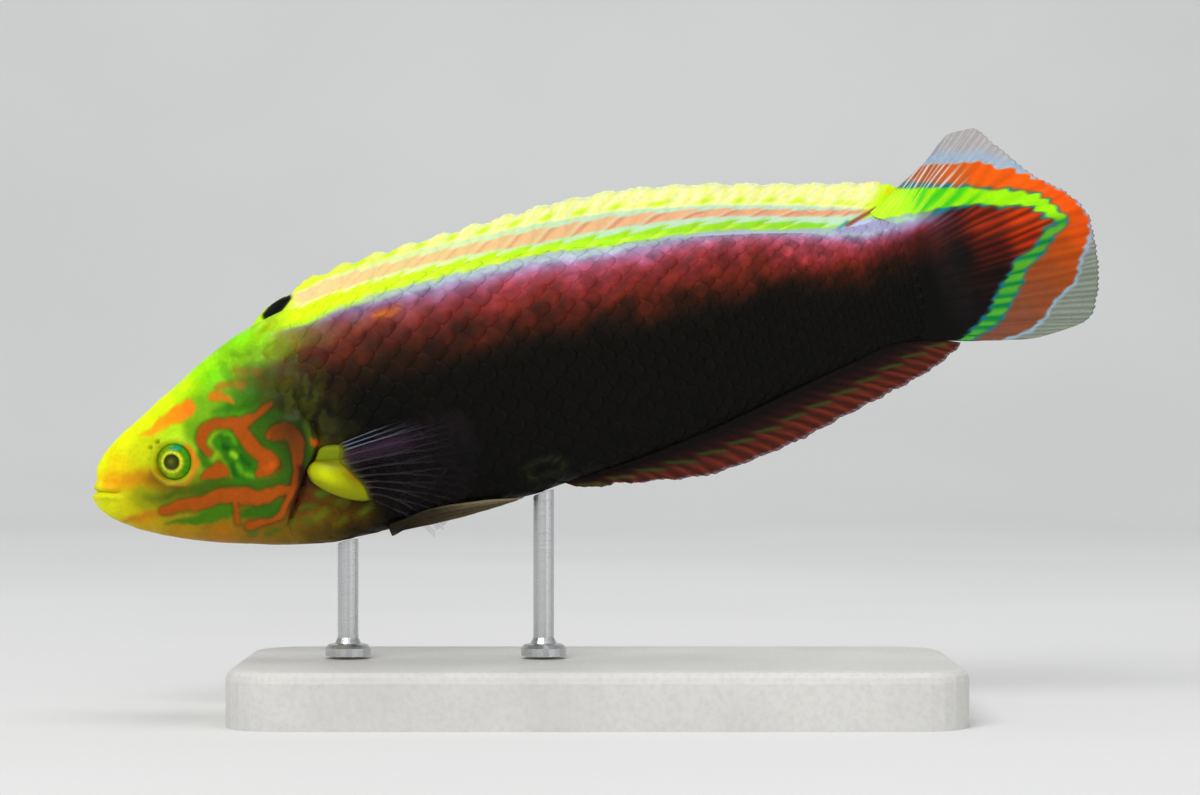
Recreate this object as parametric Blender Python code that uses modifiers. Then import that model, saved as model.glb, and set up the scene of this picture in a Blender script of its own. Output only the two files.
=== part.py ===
"""A radiant wrasse on a display stand, life size, swimming nose down.

The fish is modelled level, along its own axis. s runs back from the snout, h is the height above
the axis and y is the side, with the fish's left at -y. An empty then tilts it nose down over the
stand. Sizes are in metres. The knots of outlines are in millimetres, as (s, value) or (s, h), and
are read through smooth curves.
"""

import math

import bmesh
import bpy
from mathutils import Matrix, Vector

MM = 0.001
GAP = 0.3 * MM  # between pieces that touch
HALF_GAP = GAP / 2

# The pose and the places on the stand
NOSE_DOWN = math.radians(15)
AXIS_START = Vector((-0.0534, 0, 0.0236))  # the snout's end of the axis, over the base
SWAY_START = 0.055
SWAY_AT_TAIL = 0.0035  # how far the tail's tip swings away to the right side
BODY_END = 0.0905
TOTAL_LENGTH = 0.110

# The body's outlines
BACK_KNOTS = (
    (-0.25, -0.75), (0.5, 0.65), (1.15, 2.35), (3, 4.12), (6.9, 6.27), (12, 8.85), (17, 11.3),
    (21.8, 12.8), (26.4, 13.5), (34, 13.85), (43, 13.4), (53.4, 12.15), (63.9, 10.5), (74.3, 8.4),
    (82.5, 6.6), (86.5, 6.35), (90.5, 7.6),
)
BELLY_KNOTS = (
    (-0.25, -1.45), (0, -2.05), (0.7, -2.75), (2, -3.8), (3.8, -5.1), (7.7, -7.1), (11.6, -8.65),
    (15.7, -9.9), (19.8, -11.05), (24, -11.75), (30, -11.95), (38, -12.15), (45, -12.3),
    (48.5, -12), (55, -11.7), (63.6, -10.8), (69.4, -9.85), (75.2, -8.75), (80.9, -7.75),
    (86.5, -6.95), (90.5, -7.5),
)
HALF_WIDTH_KNOTS = (
    (-0.25, 0.5), (0.5, 1.35), (1.5, 1.95), (3, 2.55), (6, 3.45), (9, 4.15), (13, 4.95), (18, 5.65),
    (24, 6.15), (31, 6.4), (40, 6.25), (48, 5.8), (57, 5.1), (66, 4.3), (75, 3.4), (83, 2.5),
    (90.5, 1.25),
)
WIDEST_ABOVE_MIDDLE = 0.06  # of the depth
ROUND_ABOVE_KNOTS = ((0, 0.8), (10, 0.85), (30, 1), (90, 1))  # below 1 is fuller than an ellipse
ROUND_BELOW_KNOTS = ((0, 0.9), (10, 0.95), (30, 0.82), (50, 0.9), (90, 1))
AROUND = 36
STATION_STEPS = ((0.0035, 0.0005), (0.0265, 0.0013), (0.060, 0.0028), (0.088, 0.0035))

# The head's lines, seen from the side
NECK_LINE = (
    (17.4, 16), (18.6, 12.6), (20.6, 8), (23.1, 3), (24.5, -0.6), (23.5, -2.5), (22.1, -4.2),
    (21.1, -5.6), (20.1, -7.2), (18.7, -9), (17.1, -11), (16.3, -14),
)
TAIL_STALK_LINE = ((66.5, 18), (68, 0.5), (66.5, -18))
MOUTH_LINE = ((-3, 0), (0.3, -0.15), (2.7, -0.85))
JAW_JOINT_LINE = ((4.3, -2.7), (5, -4.7), (4.9, -9))
GILL_COVER_OUTLINE = (
    (27, 2.9), (21.4, 3), (18.2, 2.5), (16.3, 0.6), (15.5, -2.4), (15.7, -5.4), (16.5, -7.6),
    (18, -9.1), (27, -9.6),
)
GILL_COVER_STANDS = 0.25 * MM
GILL_COVER_THICKNESS = 1.15 * MM
GILL_COVER_INNER_Y = 1.8 * MM
CORE_REACH = (0.010, 0.034)  # the length of body that the gill covers are shaped from
FAR_AHEAD, FAR_BEHIND, FAR_UP, FAR_DOWN = -6, 100, 18, -18  # past the body, in millimetres
LIP_RADIUS = 0.42 * MM
LIP_POINTS = 7  # from its middle to each corner
LIP_SUNK_AHEAD, LIP_SUNK_BESIDE = 0.5, 0.35  # shares of its radius
LIP_CORNER_THINNING = 0.55
LIP_LEVEL = 0.48 * MM  # the middle of each lip above or below the mouth's line
LIP_CORNER = 2.85 * MM
EYE_S, EYE_H = 0.00965, 0.0008
EYE_RADIUS, EYE_DEPTH, EYE_SUNK = 1.9 * MM, 1.45 * MM, 0.62 * MM
ORBIT_RADIUS, ORBIT_TUBE = 2.32 * MM, 0.36 * MM
NOSTRILS = ((6.6, 2.3, 0.22), (7.6, 3, 0.3))  # s, h and radius
NOSTRIL_DEPTH = 0.5 * MM

# The dorsal fin: nine spines, then twelve soft rays
DORSAL_SPINES, DORSAL_RAYS = 9, 12
DORSAL_START, DORSAL_END = 0.0201, 0.0872
DORSAL_MARGIN_KNOTS = (
    (20, 12.9), (22.2, 14.2), (25, 14.9), (27, 15.9), (33.8, 16.7), (42, 16.95), (52, 17.15),
    (60, 16.85), (68.5, 15.5), (76.7, 13.4), (84.9, 11.3), (89, 10.3), (91, 8.95),
)
DORSAL_LEAN_KNOTS = ((20, 1.9), (30, 2.9), (45, 3.9), (60, 5.2), (72, 6.4), (81, 6.2), (87.2, 3.6))

# The anal fin: three spines, then twelve soft rays
ANAL_SPINES, ANAL_RAYS = 3, 12
ANAL_START, ANAL_END = 0.0480, 0.0890
ANAL_MARGIN_KNOTS = (
    (48, -12.4), (50, -13.1), (54, -13.75), (59, -14.65), (64, -15.3), (68, -15), (73.6, -14.2),
    (78.4, -13.1), (83, -12.1), (87.7, -11), (90.5, -10.1), (93, -8.75),
)
ANAL_LEAN_KNOTS = ((48, 1.6), (55, 4.2), (65, 6.6), (77, 6.8), (83, 6.2), (89, 4))

# The tail fin: fourteen main rays between short edge rays. Each tip is (share of the way from
# the top of the root to its bottom, s and h of the ray's tip).
TAIL_RAYS = 16
TAIL_TIPS = (
    (0, 91.7, 9.6), (0.06, 94.6, 11.1), (0.12, 98, 13.35), (0.18, 100.4, 13.3), (0.26, 102.4, 11),
    (0.36, 105.2, 7.1), (0.48, 108.6, 3.7), (0.56, 110, 0.7), (0.68, 109.7, -3.3),
    (0.8, 108.5, -7.4), (0.88, 106.5, -9.8), (0.94, 101.5, -10.15), (1, 93.4, -8.5),
)
TAIL_LOBE_LEAN = 0.0058  # the upper lobe leans away to the right side
TAIL_LOWER_LEAN = -0.0012
TAIL_BEND = 1.4  # how late along its length the fin bends
TAIL_ROOT_SHARE = 0.96  # of the stalk's height
TAIL_ROOT_HALF = 1.0 * MM
TAIL_ROWS = (0, 0.1, 0.36, 0.66, 0.93, 1)

# The pectoral fins, on a fleshy root behind the gill cover
PECTORAL_RAYS = 10
PECTORAL_FRONT = ((24.6, -2.2), (23.1, -4.7))  # top and bottom of the root's front edge
PECTORAL_RAY_BASE = ((26.8, -2.2), (28.4, -8.1))
PECTORAL_TIPS = (
    (0, 37.6, -0.2), (0.2, 40.6, -1.4), (0.45, 41.4, -4.4), (0.7, 39.2, -7.8), (1, 34.2, -10),
)
PECTORAL_SPREAD = 0.0062  # how far the tips stand out from the flank
PECTORAL_CURL = 1.2  # above 1, most of the spread is near the tips
PECTORAL_LIFT = 0.4 * MM  # how far the rays' roots do
PECTORAL_ROOT_HALF = 0.75 * MM
PECTORAL_ROOT_BULGE = 0.6 * MM
PECTORAL_ROWS = (-1, -0.5, 0, 0.2, 0.6, 0.93, 1)  # below 0 on the root, then on the rays

# The pelvic fins, folded along the belly. Each side is (share of the length, inner y, outer y).
PELVIC_COLUMNS = 6
PELVIC_START, PELVIC_LENGTH = 0.0295, 0.0145
PELVIC_SIDES = ((0, 1.0, 2.6), (0.35, 1.0, 3.3), (0.75, 1.1, 2.9), (1, 1.3, 2.2))
PELVIC_REACH = ((0, 0.62), (0.4, 0.84), (0.8, 1), (1, 0.95))  # across the fin, from its inner side
PELVIC_DROOP = 0.3 * MM

# The fins' sections, and the places of their rows of points from root to tip
RAY_EDGE = 0.36 * MM  # from a ray's crest to the membrane beside it
RAY_MOST_SHARE = 0.3  # of the way to the next ray, where rays stand close at their roots
MEMBRANE_HALF = 0.25 * MM
CREST_HALF = 0.4 * MM
ROOT_HALF = 0.62 * MM
ROOT_SHARE = 0.16  # the share of a ray's length over which its root thins
TIP_THINNING, TIP_SHARE = 0.55, 0.25
NOTCH = 0.25 * MM  # how far a fin's edge falls back between its rays
FIN_ROWS = (0, 0.14, 0.5, 0.88, 1)

# The stand
BASE_LENGTH, BASE_WIDTH, BASE_HEIGHT = 0.076, 0.036, 0.006
BASE_CORNER, BASE_EDGE = 0.006, 0.0012
ROD_RADIUS = 1.1 * MM
COLLAR_PROFILE = ((1.1, 1.92), (1.375, 1.32), (2.04, 1.2), (2.4, 0.84), (2.4, 0))  # radius, height
ROD_PLACES = {"front": 0.0248, "rear": 0.0461}  # s where each rod meets the belly
SADDLE_REACH = 0.012  # the length of belly, each way, that a rod's top is cut to
SHARP_ANGLE = math.radians(35)


SIDES = {"left": -1, "right": 1}

FINISHES = {
    "head_skin": ((0.62, 0.72, 0.02), 0.35),
    "body_skin": ((0.10, 0.035, 0.02), 0.4),
    "fin_membrane": ((0.75, 0.42, 0.05), 0.35),
    "tail_membrane": ((0.80, 0.30, 0.02), 0.35),
    "clear_membrane": ((0.30, 0.27, 0.14), 0.35),
    "eye": ((0.05, 0.11, 0.03), 0.1),
    "stand_metal": ((0.62, 0.62, 0.63), 0.25, 1.0),
    "stand_plate": ((0.6, 0.6, 0.58), 0.45),
}
FISH_FINISH = {
    "head": "head_skin",
    "lower_jaw": "head_skin",
    "gill_cover": "head_skin",
    "eye": "eye",
    "dorsal_fin": "fin_membrane",
    "anal_fin": "fin_membrane",
    "tail_fin": "tail_membrane",
    "pectoral_fin": "clear_membrane",
    "pelvic_fin": "clear_membrane",
}


def smooth_curve(knots):
    """A function through knots of (place, value) in millimetres. It takes and gives metres."""
    places = [place * MM for place, _ in knots]
    values = [value * MM for _, value in knots]
    rises = [
        (values[i + 1] - values[i]) / (places[i + 1] - places[i]) for i in range(len(knots) - 1)
    ]
    slopes = [rises[0]]
    for before, after in zip(rises, rises[1:]):
        slopes.append(2 * before * after / (before + after) if before * after > 0 else 0)
    slopes.append(rises[-1])

    def value_at(place):
        place = min(max(place, places[0]), places[-1])
        i = max(k for k in range(len(places) - 1) if places[k] <= place)
        width = places[i + 1] - places[i]
        t = (place - places[i]) / width
        return (
            values[i] * (1 + 2 * t) * (1 - t) ** 2
            + slopes[i] * width * t * (1 - t) ** 2
            + values[i + 1] * t * t * (3 - 2 * t)
            + slopes[i + 1] * width * t * t * (t - 1)
        )

    return value_at


def share_curve(knots):
    """A function of a share from 0 to 1 through knots of (share, s, h) in millimetres."""
    s_at = smooth_curve([(share / MM, s) for share, s, _ in knots])
    h_at = smooth_curve([(share / MM, h) for share, _, h in knots])
    return lambda share: (s_at(share), h_at(share))


def ease(t):
    """Goes smoothly from 0 to 1 as t does."""
    t = min(max(t, 0), 1)
    return t * t * (3 - 2 * t)


def between(a, b, t):
    return a + (b - a) * t


back_at = smooth_curve(BACK_KNOTS)
belly_at = smooth_curve(BELLY_KNOTS)
half_width_at = smooth_curve(HALF_WIDTH_KNOTS)
round_above_at = smooth_curve([(s, power / MM) for s, power in ROUND_ABOVE_KNOTS])
round_below_at = smooth_curve([(s, power / MM) for s, power in ROUND_BELOW_KNOTS])


def sway_at(s):
    """How far the swimming bend has moved the middle line to the side."""
    past = max(s - SWAY_START, 0) / (TOTAL_LENGTH - SWAY_START)
    return SWAY_AT_TAIL * past**2


def widest_level(s):
    top, bottom = back_at(s), belly_at(s)
    return (top + bottom) / 2 + WIDEST_ABOVE_MIDDLE * (top - bottom)


def half_width_at_height(s, h):
    """The body's half-width at a height, measured from its middle line."""
    level = widest_level(s)
    above = h > level
    reach = back_at(s) - level if above else level - belly_at(s)
    power = round_above_at(s) if above else round_below_at(s)
    across = max(1 - ((h - level) / reach) ** 2, 0)
    return half_width_at(s) * across ** (power / 2)


def belly_height_beside(s, y):
    """The height of the belly's surface at a distance y from the middle line."""
    level = widest_level(s)
    down = (y / half_width_at(s)) ** (2 / round_below_at(s))
    return level - (level - belly_at(s)) * math.sqrt(max(1 - down, 0))


def body_ring(s, grow):
    """One cross-section of the body as points, from the top round to the fish's right."""
    level = widest_level(s)
    ring = []
    for i in range(AROUND):
        turn = math.tau * i / AROUND
        up, out = math.cos(turn), math.sin(turn)
        reach = back_at(s) - level if up > 0 else level - belly_at(s)
        power = round_above_at(s) if up > 0 else round_below_at(s)
        y = math.copysign((half_width_at(s) + grow) * abs(out) ** power, out)
        ring.append(Vector((s, y + sway_at(s), level + (reach + grow) * up)))
    return ring


def body_stations():
    """Places of the cross-sections, close at the snout and wider apart along the trunk."""
    stations = [BACK_KNOTS[0][0] * MM]
    for end, step in STATION_STEPS:
        count = round((end - stations[-1]) / step)
        start = stations[-1]
        stations += [between(start, end, (k + 1) / count) for k in range(count)]
    return stations + [BODY_END]


def new_collection(name, shown=True):
    collection = bpy.data.collections.new(name)
    bpy.context.scene.collection.children.link(collection)
    collection.hide_render = not shown
    return collection


def add_mesh_object(name, points, faces, collection):
    mesh = bpy.data.meshes.new(name)
    mesh.from_pydata([tuple(point) for point in points], [], faces)
    obj = bpy.data.objects.new(name, mesh)
    collection.objects.link(obj)
    return obj


def loft(name, rings, collection):
    """A closed solid through rings of the same number of points."""
    count = len(rings[0])
    faces = [tuple(range(count))[::-1]]
    for k in range(len(rings) - 1):
        for i in range(count):
            a, b = k * count + i, k * count + (i + 1) % count
            faces.append((a, b, b + count, a + count))
    last = (len(rings) - 1) * count
    faces.append(tuple(range(last, last + count)))
    obj = add_mesh_object(name, [point for ring in rings for point in ring], faces, collection)
    face_outwards(obj)
    return obj


def face_outwards(obj):
    shape = bmesh.new()
    shape.from_mesh(obj.data)
    bmesh.ops.recalc_face_normals(shape, faces=shape.faces)
    shape.to_mesh(obj.data)
    shape.free()


def body_length(name, start, end, collection, grow=0.0):
    """The body between two stations, grown all round by a margin."""
    rings = [body_ring(s, grow) for s in body_stations() if start <= s <= end]
    return loft(name, rings, collection)


def as_mesh(obj, collection):
    """Turns a curve object into a mesh object whose caps are welded to its sides."""
    bpy.context.view_layer.update()
    graph = bpy.context.evaluated_depsgraph_get()
    mesh = bpy.data.meshes.new_from_object(obj.evaluated_get(graph))
    solid = bpy.data.objects.new(obj.name + "_solid", mesh)
    collection.objects.link(solid)
    solid.matrix_world = obj.matrix_world
    mesh.transform(solid.matrix_world)
    solid.matrix_world = Matrix.Identity(4)
    bpy.data.objects.remove(obj)
    shape = bmesh.new()
    shape.from_mesh(mesh)
    bmesh.ops.remove_doubles(shape, verts=shape.verts, dist=0.001 * MM)
    bmesh.ops.recalc_face_normals(shape, faces=shape.faces)
    shape.to_mesh(mesh)
    shape.free()
    return solid


def side_prism(name, outline, collection, half_depth=0.02, centre_y=0.0):
    """A flat outline of (s, h) in millimetres, seen from the side and extruded both ways."""
    curve = bpy.data.curves.new(name, "CURVE")
    curve.dimensions = "2D"
    curve.fill_mode = "BOTH"
    curve.extrude = half_depth
    spline = curve.splines.new("POLY")
    spline.points.add(len(outline) - 1)
    spline.use_cyclic_u = True
    for point, (s, h) in zip(spline.points, outline):
        point.co = (s * MM, h * MM, 0, 1)
    obj = bpy.data.objects.new(name, curve)
    obj.rotation_euler.x = math.radians(90)
    obj.location.y = centre_y
    collection.objects.link(obj)
    return as_mesh(obj, collection)


def tube(name, path, radii, collection):
    """A tube with round ends along a path of points."""
    curve = bpy.data.curves.new(name, "CURVE")
    curve.dimensions = "3D"
    curve.bevel_depth = 1.0
    curve.bevel_resolution = 1
    curve.use_fill_caps = True
    spline = curve.splines.new("POLY")
    spline.points.add(len(path) - 1)
    for point, place, radius in zip(spline.points, path, radii):
        point.co = (*place, 1)
        point.radius = radius
    obj = bpy.data.objects.new(name, curve)
    collection.objects.link(obj)
    return as_mesh(obj, collection)


def shifted(line, distance):
    """A line of (s, h) moved sideways, to the left of the way it runs."""
    moved = []
    for i, point in enumerate(line):
        before, after = line[max(i - 1, 0)], line[min(i + 1, len(line) - 1)]
        along = Vector((after[0] - before[0], after[1] - before[1])).normalized()
        moved.append((point[0] - along.y * distance, point[1] + along.x * distance))
    return moved


def combine(target, operation, others):
    """Applies one Boolean of a collection of closed meshes to the target, then removes them."""
    pieces = bpy.data.collections.new("pieces")
    bpy.context.scene.collection.children.link(pieces)
    for other in others:
        for owner in list(other.users_collection):
            owner.objects.unlink(other)
        pieces.objects.link(other)
    modifier = target.modifiers.new(operation.lower(), "BOOLEAN")
    modifier.operation = operation
    modifier.operand_type = "COLLECTION"
    modifier.collection = pieces
    modifier.solver = "EXACT"
    bpy.context.view_layer.update()
    graph = bpy.context.evaluated_depsgraph_get()
    joined = bpy.data.meshes.new_from_object(target.evaluated_get(graph))
    target.modifiers.remove(modifier)
    target.data = joined
    for other in list(pieces.objects):
        bpy.data.objects.remove(other)
    bpy.data.collections.remove(pieces)
    keep_largest_surface(target)
    return target


def keep_largest_surface(obj):
    """Leaves only the closed surface with the most room inside it."""
    shape = bmesh.new()
    shape.from_mesh(obj.data)
    unseen = set(shape.verts)
    surfaces = []
    while unseen:
        found, edge = set(), [unseen.pop()]
        while edge:
            vertex = edge.pop()
            found.add(vertex)
            linked = {e.other_vert(vertex) for e in vertex.link_edges}
            edge += list(linked & unseen)
            unseen -= linked
        surfaces.append(found)

    def size(found):
        corners = [vertex.co for vertex in found]
        return math.prod(max(c[i] for c in corners) - min(c[i] for c in corners) for i in range(3))

    largest = max(surfaces, key=size)
    loose = [vertex for vertex in shape.verts if vertex not in largest]
    bmesh.ops.delete(shape, geom=loose, context="VERTS")
    shape.to_mesh(obj.data)
    shape.free()


def copied(obj, name, collection):
    twin = obj.copy()
    twin.data = obj.data.copy()
    twin.name = name
    collection.objects.link(twin)
    return twin


def ellipsoid(name, centre, radii, axis, collection, segments=20, rings=10):
    """An ellipsoid whose third radius lies along an axis."""
    bpy.ops.mesh.primitive_uv_sphere_add(segments=segments, ring_count=rings, radius=1)
    obj = bpy.context.object
    obj.name = name
    for owner in list(obj.users_collection):
        owner.objects.unlink(obj)
    collection.objects.link(obj)
    turn = axis.to_track_quat("Z", "Y").to_matrix().to_4x4()
    obj.data.transform(Matrix.Translation(centre) @ turn @ Matrix.Diagonal((*radii, 1)))
    return obj


def ring(name, centre, radius, thickness, axis, collection):
    bpy.ops.mesh.primitive_torus_add(
        major_segments=22, minor_segments=6, major_radius=radius, minor_radius=thickness
    )
    obj = bpy.context.object
    obj.name = name
    for owner in list(obj.users_collection):
        owner.objects.unlink(obj)
    collection.objects.link(obj)
    obj.data.transform(
        Matrix.Translation(centre) @ axis.to_track_quat("Z", "Y").to_matrix().to_4x4()
    )
    return obj


def flank_point(s, h, side, out=0.0):
    """A point on the body's surface, on side -1 (left) or 1 (right), moved out by a margin."""
    return Vector((s, side * (half_width_at_height(s, h) + out) + sway_at(s), h))


def flank_normal(s, h, side):
    """The way out of the body's surface at a point of its side."""
    step = 0.0005
    along = flank_point(s + step, h, side) - flank_point(s - step, h, side)
    up = flank_point(s, h + step, side) - flank_point(s, h - step, side)
    out = along.cross(up).normalized()
    return out if out.y * side > 0 else -out


def snout_at_level(level):
    """How far back from the snout's tip the back reaches a level."""
    s = BACK_KNOTS[0][0] * MM
    while back_at(s) <= level:
        s += 0.01 * MM
    return s


def lip(name, level, collection):
    """A lip as a tube that follows the head's surface from one corner of the mouth round."""
    front = snout_at_level(level)
    mouth_drop = (MOUTH_LINE[2][1] - MOUTH_LINE[1][1]) / (MOUTH_LINE[2][0] - MOUTH_LINE[1][0])
    half = []
    for k in range(LIP_POINTS + 1):
        share = (k / LIP_POINTS) ** 2
        s = between(front + LIP_RADIUS * LIP_SUNK_AHEAD, LIP_CORNER, share)
        h = level + mouth_drop * (s - front)
        y = half_width_at_height(s, h) - LIP_RADIUS * LIP_SUNK_BESIDE if k else 0.0
        half.append((s, y, h))
    path = [Vector((s, -y, h)) for s, y, h in half[::-1]] + [Vector(p) for p in half[1:]]
    from_middle = [abs(i - LIP_POINTS) / LIP_POINTS for i in range(len(path))]
    radii = [LIP_RADIUS * between(1, LIP_CORNER_THINNING, share**2) for share in from_middle]
    return tube(name, path, radii, collection)


def region_ahead_of_neck():
    return [(FAR_AHEAD, FAR_UP), *shifted(NECK_LINE, -HALF_GAP / MM), (FAR_AHEAD, FAR_DOWN)]


def region_under_mouth(margin):
    """All that lies under the mouth and ahead of the jaw's joint, grown by a margin."""
    line = shifted(MOUTH_LINE + JAW_JOINT_LINE, margin / MM)
    return [*line, (line[-1][0], FAR_DOWN), (FAR_AHEAD, FAR_DOWN), (FAR_AHEAD, line[0][1])]


def gill_cover_prism(name, side, margin, collection):
    """One gill cover's outline grown by a margin, from near the middle out through its side."""
    outline = shifted(GILL_COVER_OUTLINE, -margin / MM)
    inner, outer = GILL_COVER_INNER_Y - margin, BASE_WIDTH / 2
    return side_prism(name, outline, collection, (outer - inner) / 2, side * (inner + outer) / 2)


def make_head(whole, nodes, cutters):
    """The head without its lower jaw, with its upper lip, orbits, nostrils and gill beds."""
    head = copied(whole, "head", nodes)
    additions = [lip("upper_lip", MOUTH_LINE[1][1] * MM + LIP_LEVEL, cutters)]
    for side in SIDES.values():
        out = flank_normal(EYE_S, EYE_H, side)
        centre = flank_point(EYE_S, EYE_H, side)
        additions.append(ring("orbit", centre, ORBIT_RADIUS, ORBIT_TUBE, out, cutters))
    combine(head, "UNION", additions)
    combine(head, "INTERSECT", [side_prism("ahead_of_neck", region_ahead_of_neck(), cutters)])

    hollows = [side_prism("under_mouth", region_under_mouth(HALF_GAP), cutters)]
    for side in SIDES.values():
        hollows.append(eyeball("socket", side, GAP, cutters))
        for s, h, radius in NOSTRILS:
            out = flank_normal(s * MM, h * MM, side)
            place = flank_point(s * MM, h * MM, side)
            radii = (radius * MM, radius * MM, NOSTRIL_DEPTH)
            hollows.append(ellipsoid("nostril", place, radii, out, cutters, 10, 6))
    combine(head, "DIFFERENCE", hollows)
    for side in SIDES.values():
        bed = gill_cover_prism("gill_bed", side, GAP, cutters)
        core = body_length("core", *CORE_REACH, cutters, -GILL_COVER_THICKNESS - GAP)
        combine(bed, "DIFFERENCE", [core])
        combine(head, "DIFFERENCE", [bed])
    return head


def make_lower_jaw(whole, nodes, cutters):
    jaw = copied(whole, "lower_jaw", nodes)
    combine(jaw, "UNION", [lip("lower_lip", MOUTH_LINE[1][1] * MM - LIP_LEVEL, cutters)])
    region = region_under_mouth(-HALF_GAP)
    return combine(jaw, "INTERSECT", [side_prism("under_mouth", region, cutters)])


def make_gill_cover(name, side, nodes, cutters):
    """A plate that stands a little proud of the head, with its rear edge at the neck."""
    cover = body_length(name, *CORE_REACH, nodes, GILL_COVER_STANDS)
    core = body_length("core", *CORE_REACH, cutters, -GILL_COVER_THICKNESS)
    combine(cover, "DIFFERENCE", [core])
    combine(cover, "INTERSECT", [side_prism("ahead_of_neck", region_ahead_of_neck(), cutters)])
    return combine(cover, "INTERSECT", [gill_cover_prism("outline", side, 0.0, cutters)])


def make_trunk(whole, nodes, cutters):
    region = [*shifted(NECK_LINE, HALF_GAP / MM), *shifted(TAIL_STALK_LINE, -HALF_GAP / MM)[::-1]]
    trunk = copied(whole, "trunk", nodes)
    return combine(trunk, "INTERSECT", [side_prism("trunk_region", region, cutters)])


def make_tail_stalk(whole, nodes, cutters):
    behind = [(FAR_BEHIND, FAR_DOWN), (FAR_BEHIND, FAR_UP)]
    region = shifted(TAIL_STALK_LINE, HALF_GAP / MM) + behind
    stalk = copied(whole, "tail_stalk", nodes)
    return combine(stalk, "INTERSECT", [side_prism("stalk_region", region, cutters)])


def eyeball(name, side, margin, collection):
    out = flank_normal(EYE_S, EYE_H, side)
    centre = flank_point(EYE_S, EYE_H, side) - out * EYE_SUNK
    radii = (EYE_RADIUS + margin, EYE_RADIUS + margin, EYE_DEPTH + margin)
    return ellipsoid(name, centre, radii, out, collection)


def sheet(name, grid, halves, collection):
    """A closed thin body on both sides of a grid of points, each with its half-thickness."""
    columns, rows = len(grid), len(grid[0])
    normals = []
    for i in range(columns):
        for j in range(rows):
            across = grid[min(i + 1, columns - 1)][j] - grid[max(i - 1, 0)][j]
            along = grid[i][min(j + 1, rows - 1)] - grid[i][max(j - 1, 0)]
            normals.append(across.cross(along).normalized())
    middle = [point for column in grid for point in column]
    half = [value for column in halves for value in column]
    count = columns * rows
    points = [p + n * d for p, n, d in zip(middle, normals, half)]
    points += [p - n * d for p, n, d in zip(middle, normals, half)]
    faces = []
    for i in range(columns - 1):
        for j in range(rows - 1):
            a, b = i * rows + j, (i + 1) * rows + j
            faces += [(a, b, b + 1), (a, b + 1, a + 1)]
            faces += [(a + count, b + 1 + count, b + count)]
            faces += [(a + count, a + 1 + count, b + 1 + count)]
    border = [i * rows for i in range(columns)]
    border += [(columns - 1) * rows + j for j in range(1, rows)]
    border += [i * rows + rows - 1 for i in range(columns - 2, -1, -1)]
    border += list(range(rows - 2, 0, -1))
    for a, b in zip(border, border[1:] + border[:1]):
        faces.append((a, a + count, b + count, b))
    obj = add_mesh_object(name, points, faces, collection)
    face_outwards(obj)
    return obj


def ray_columns(rays, width):
    """Columns of a fin as (share along it, raised, notched). A ray is raised between its edges."""
    edge = min(RAY_EDGE / width, RAY_MOST_SHARE / (rays - 1))
    columns = []
    for k in range(rays):
        share = between(edge, 1 - edge, k / (rays - 1))
        columns += [(share - edge, False, False), (share, True, False), (share + edge, False, False)]
        if k < rays - 1:
            columns.append((share + (1 - 2 * edge) / (rays - 1) / 2, False, True))
    return columns


def half_thickness(raised, t):
    """Half a fin's thickness at a share of the way from its root to its tip."""
    body = CREST_HALF if raised else MEMBRANE_HALF
    thick = between(ROOT_HALF, body, ease(t / ROOT_SHARE))
    return thick * between(1, TIP_THINNING, ease(1 - (1 - t) / TIP_SHARE))


def midline_fin(name, rays, start, end, root_at, margin_at, lean_at, nodes):
    """A fin along the back or the belly, its rays leaning towards the tail."""
    grid, halves = [], []
    outwards = math.copysign(1, margin_at(start))
    for share, raised, notched in ray_columns(rays, end - start):
        s = between(start, end, share)
        tip = s + lean_at(s)
        root = root_at(s) + outwards * GAP
        top = margin_at(tip) - outwards * (NOTCH if notched else 0)
        column = [(between(s, tip, t), between(root, top, t)) for t in FIN_ROWS]
        grid.append([Vector((x, sway_at(x), h)) for x, h in column])
        halves.append([half_thickness(raised, t) for t in FIN_ROWS])
    return sheet(name, grid, halves, nodes)


def make_tail_fin(nodes):
    """The fan of the tail, its upper lobe bent away to the fish's right."""
    tip_at = share_curve(TAIL_TIPS)
    top, bottom = back_at(BODY_END), belly_at(BODY_END)
    length = TOTAL_LENGTH - BODY_END

    def placed(s, h):
        past = max(s - BODY_END, 0) / length
        upper = TAIL_LOBE_LEAN * ease(h / top / 2) * past**TAIL_BEND
        lower = TAIL_LOWER_LEAN * ease(h / bottom / 2) * past**TAIL_BEND
        return Vector((s, sway_at(s) + upper + lower, h))

    grid, halves = [], []
    for share, raised, notched in ray_columns(TAIL_RAYS, top - bottom):
        tip_s, tip_h = tip_at(share)
        tip_s -= NOTCH if notched else 0
        root = between(top, bottom, share) * TAIL_ROOT_SHARE
        column = [
            (between(BODY_END + GAP, tip_s, t), between(root, tip_h, t)) for t in TAIL_ROWS
        ]
        grid.append([placed(s, h) for s, h in column])
        halves.append([
            half_thickness(raised, t) + (TAIL_ROOT_HALF - ROOT_HALF) * (1 - ease(t / ROOT_SHARE))
            for t in TAIL_ROWS
        ])
    return sheet("tail_fin", grid, halves, nodes)


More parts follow.
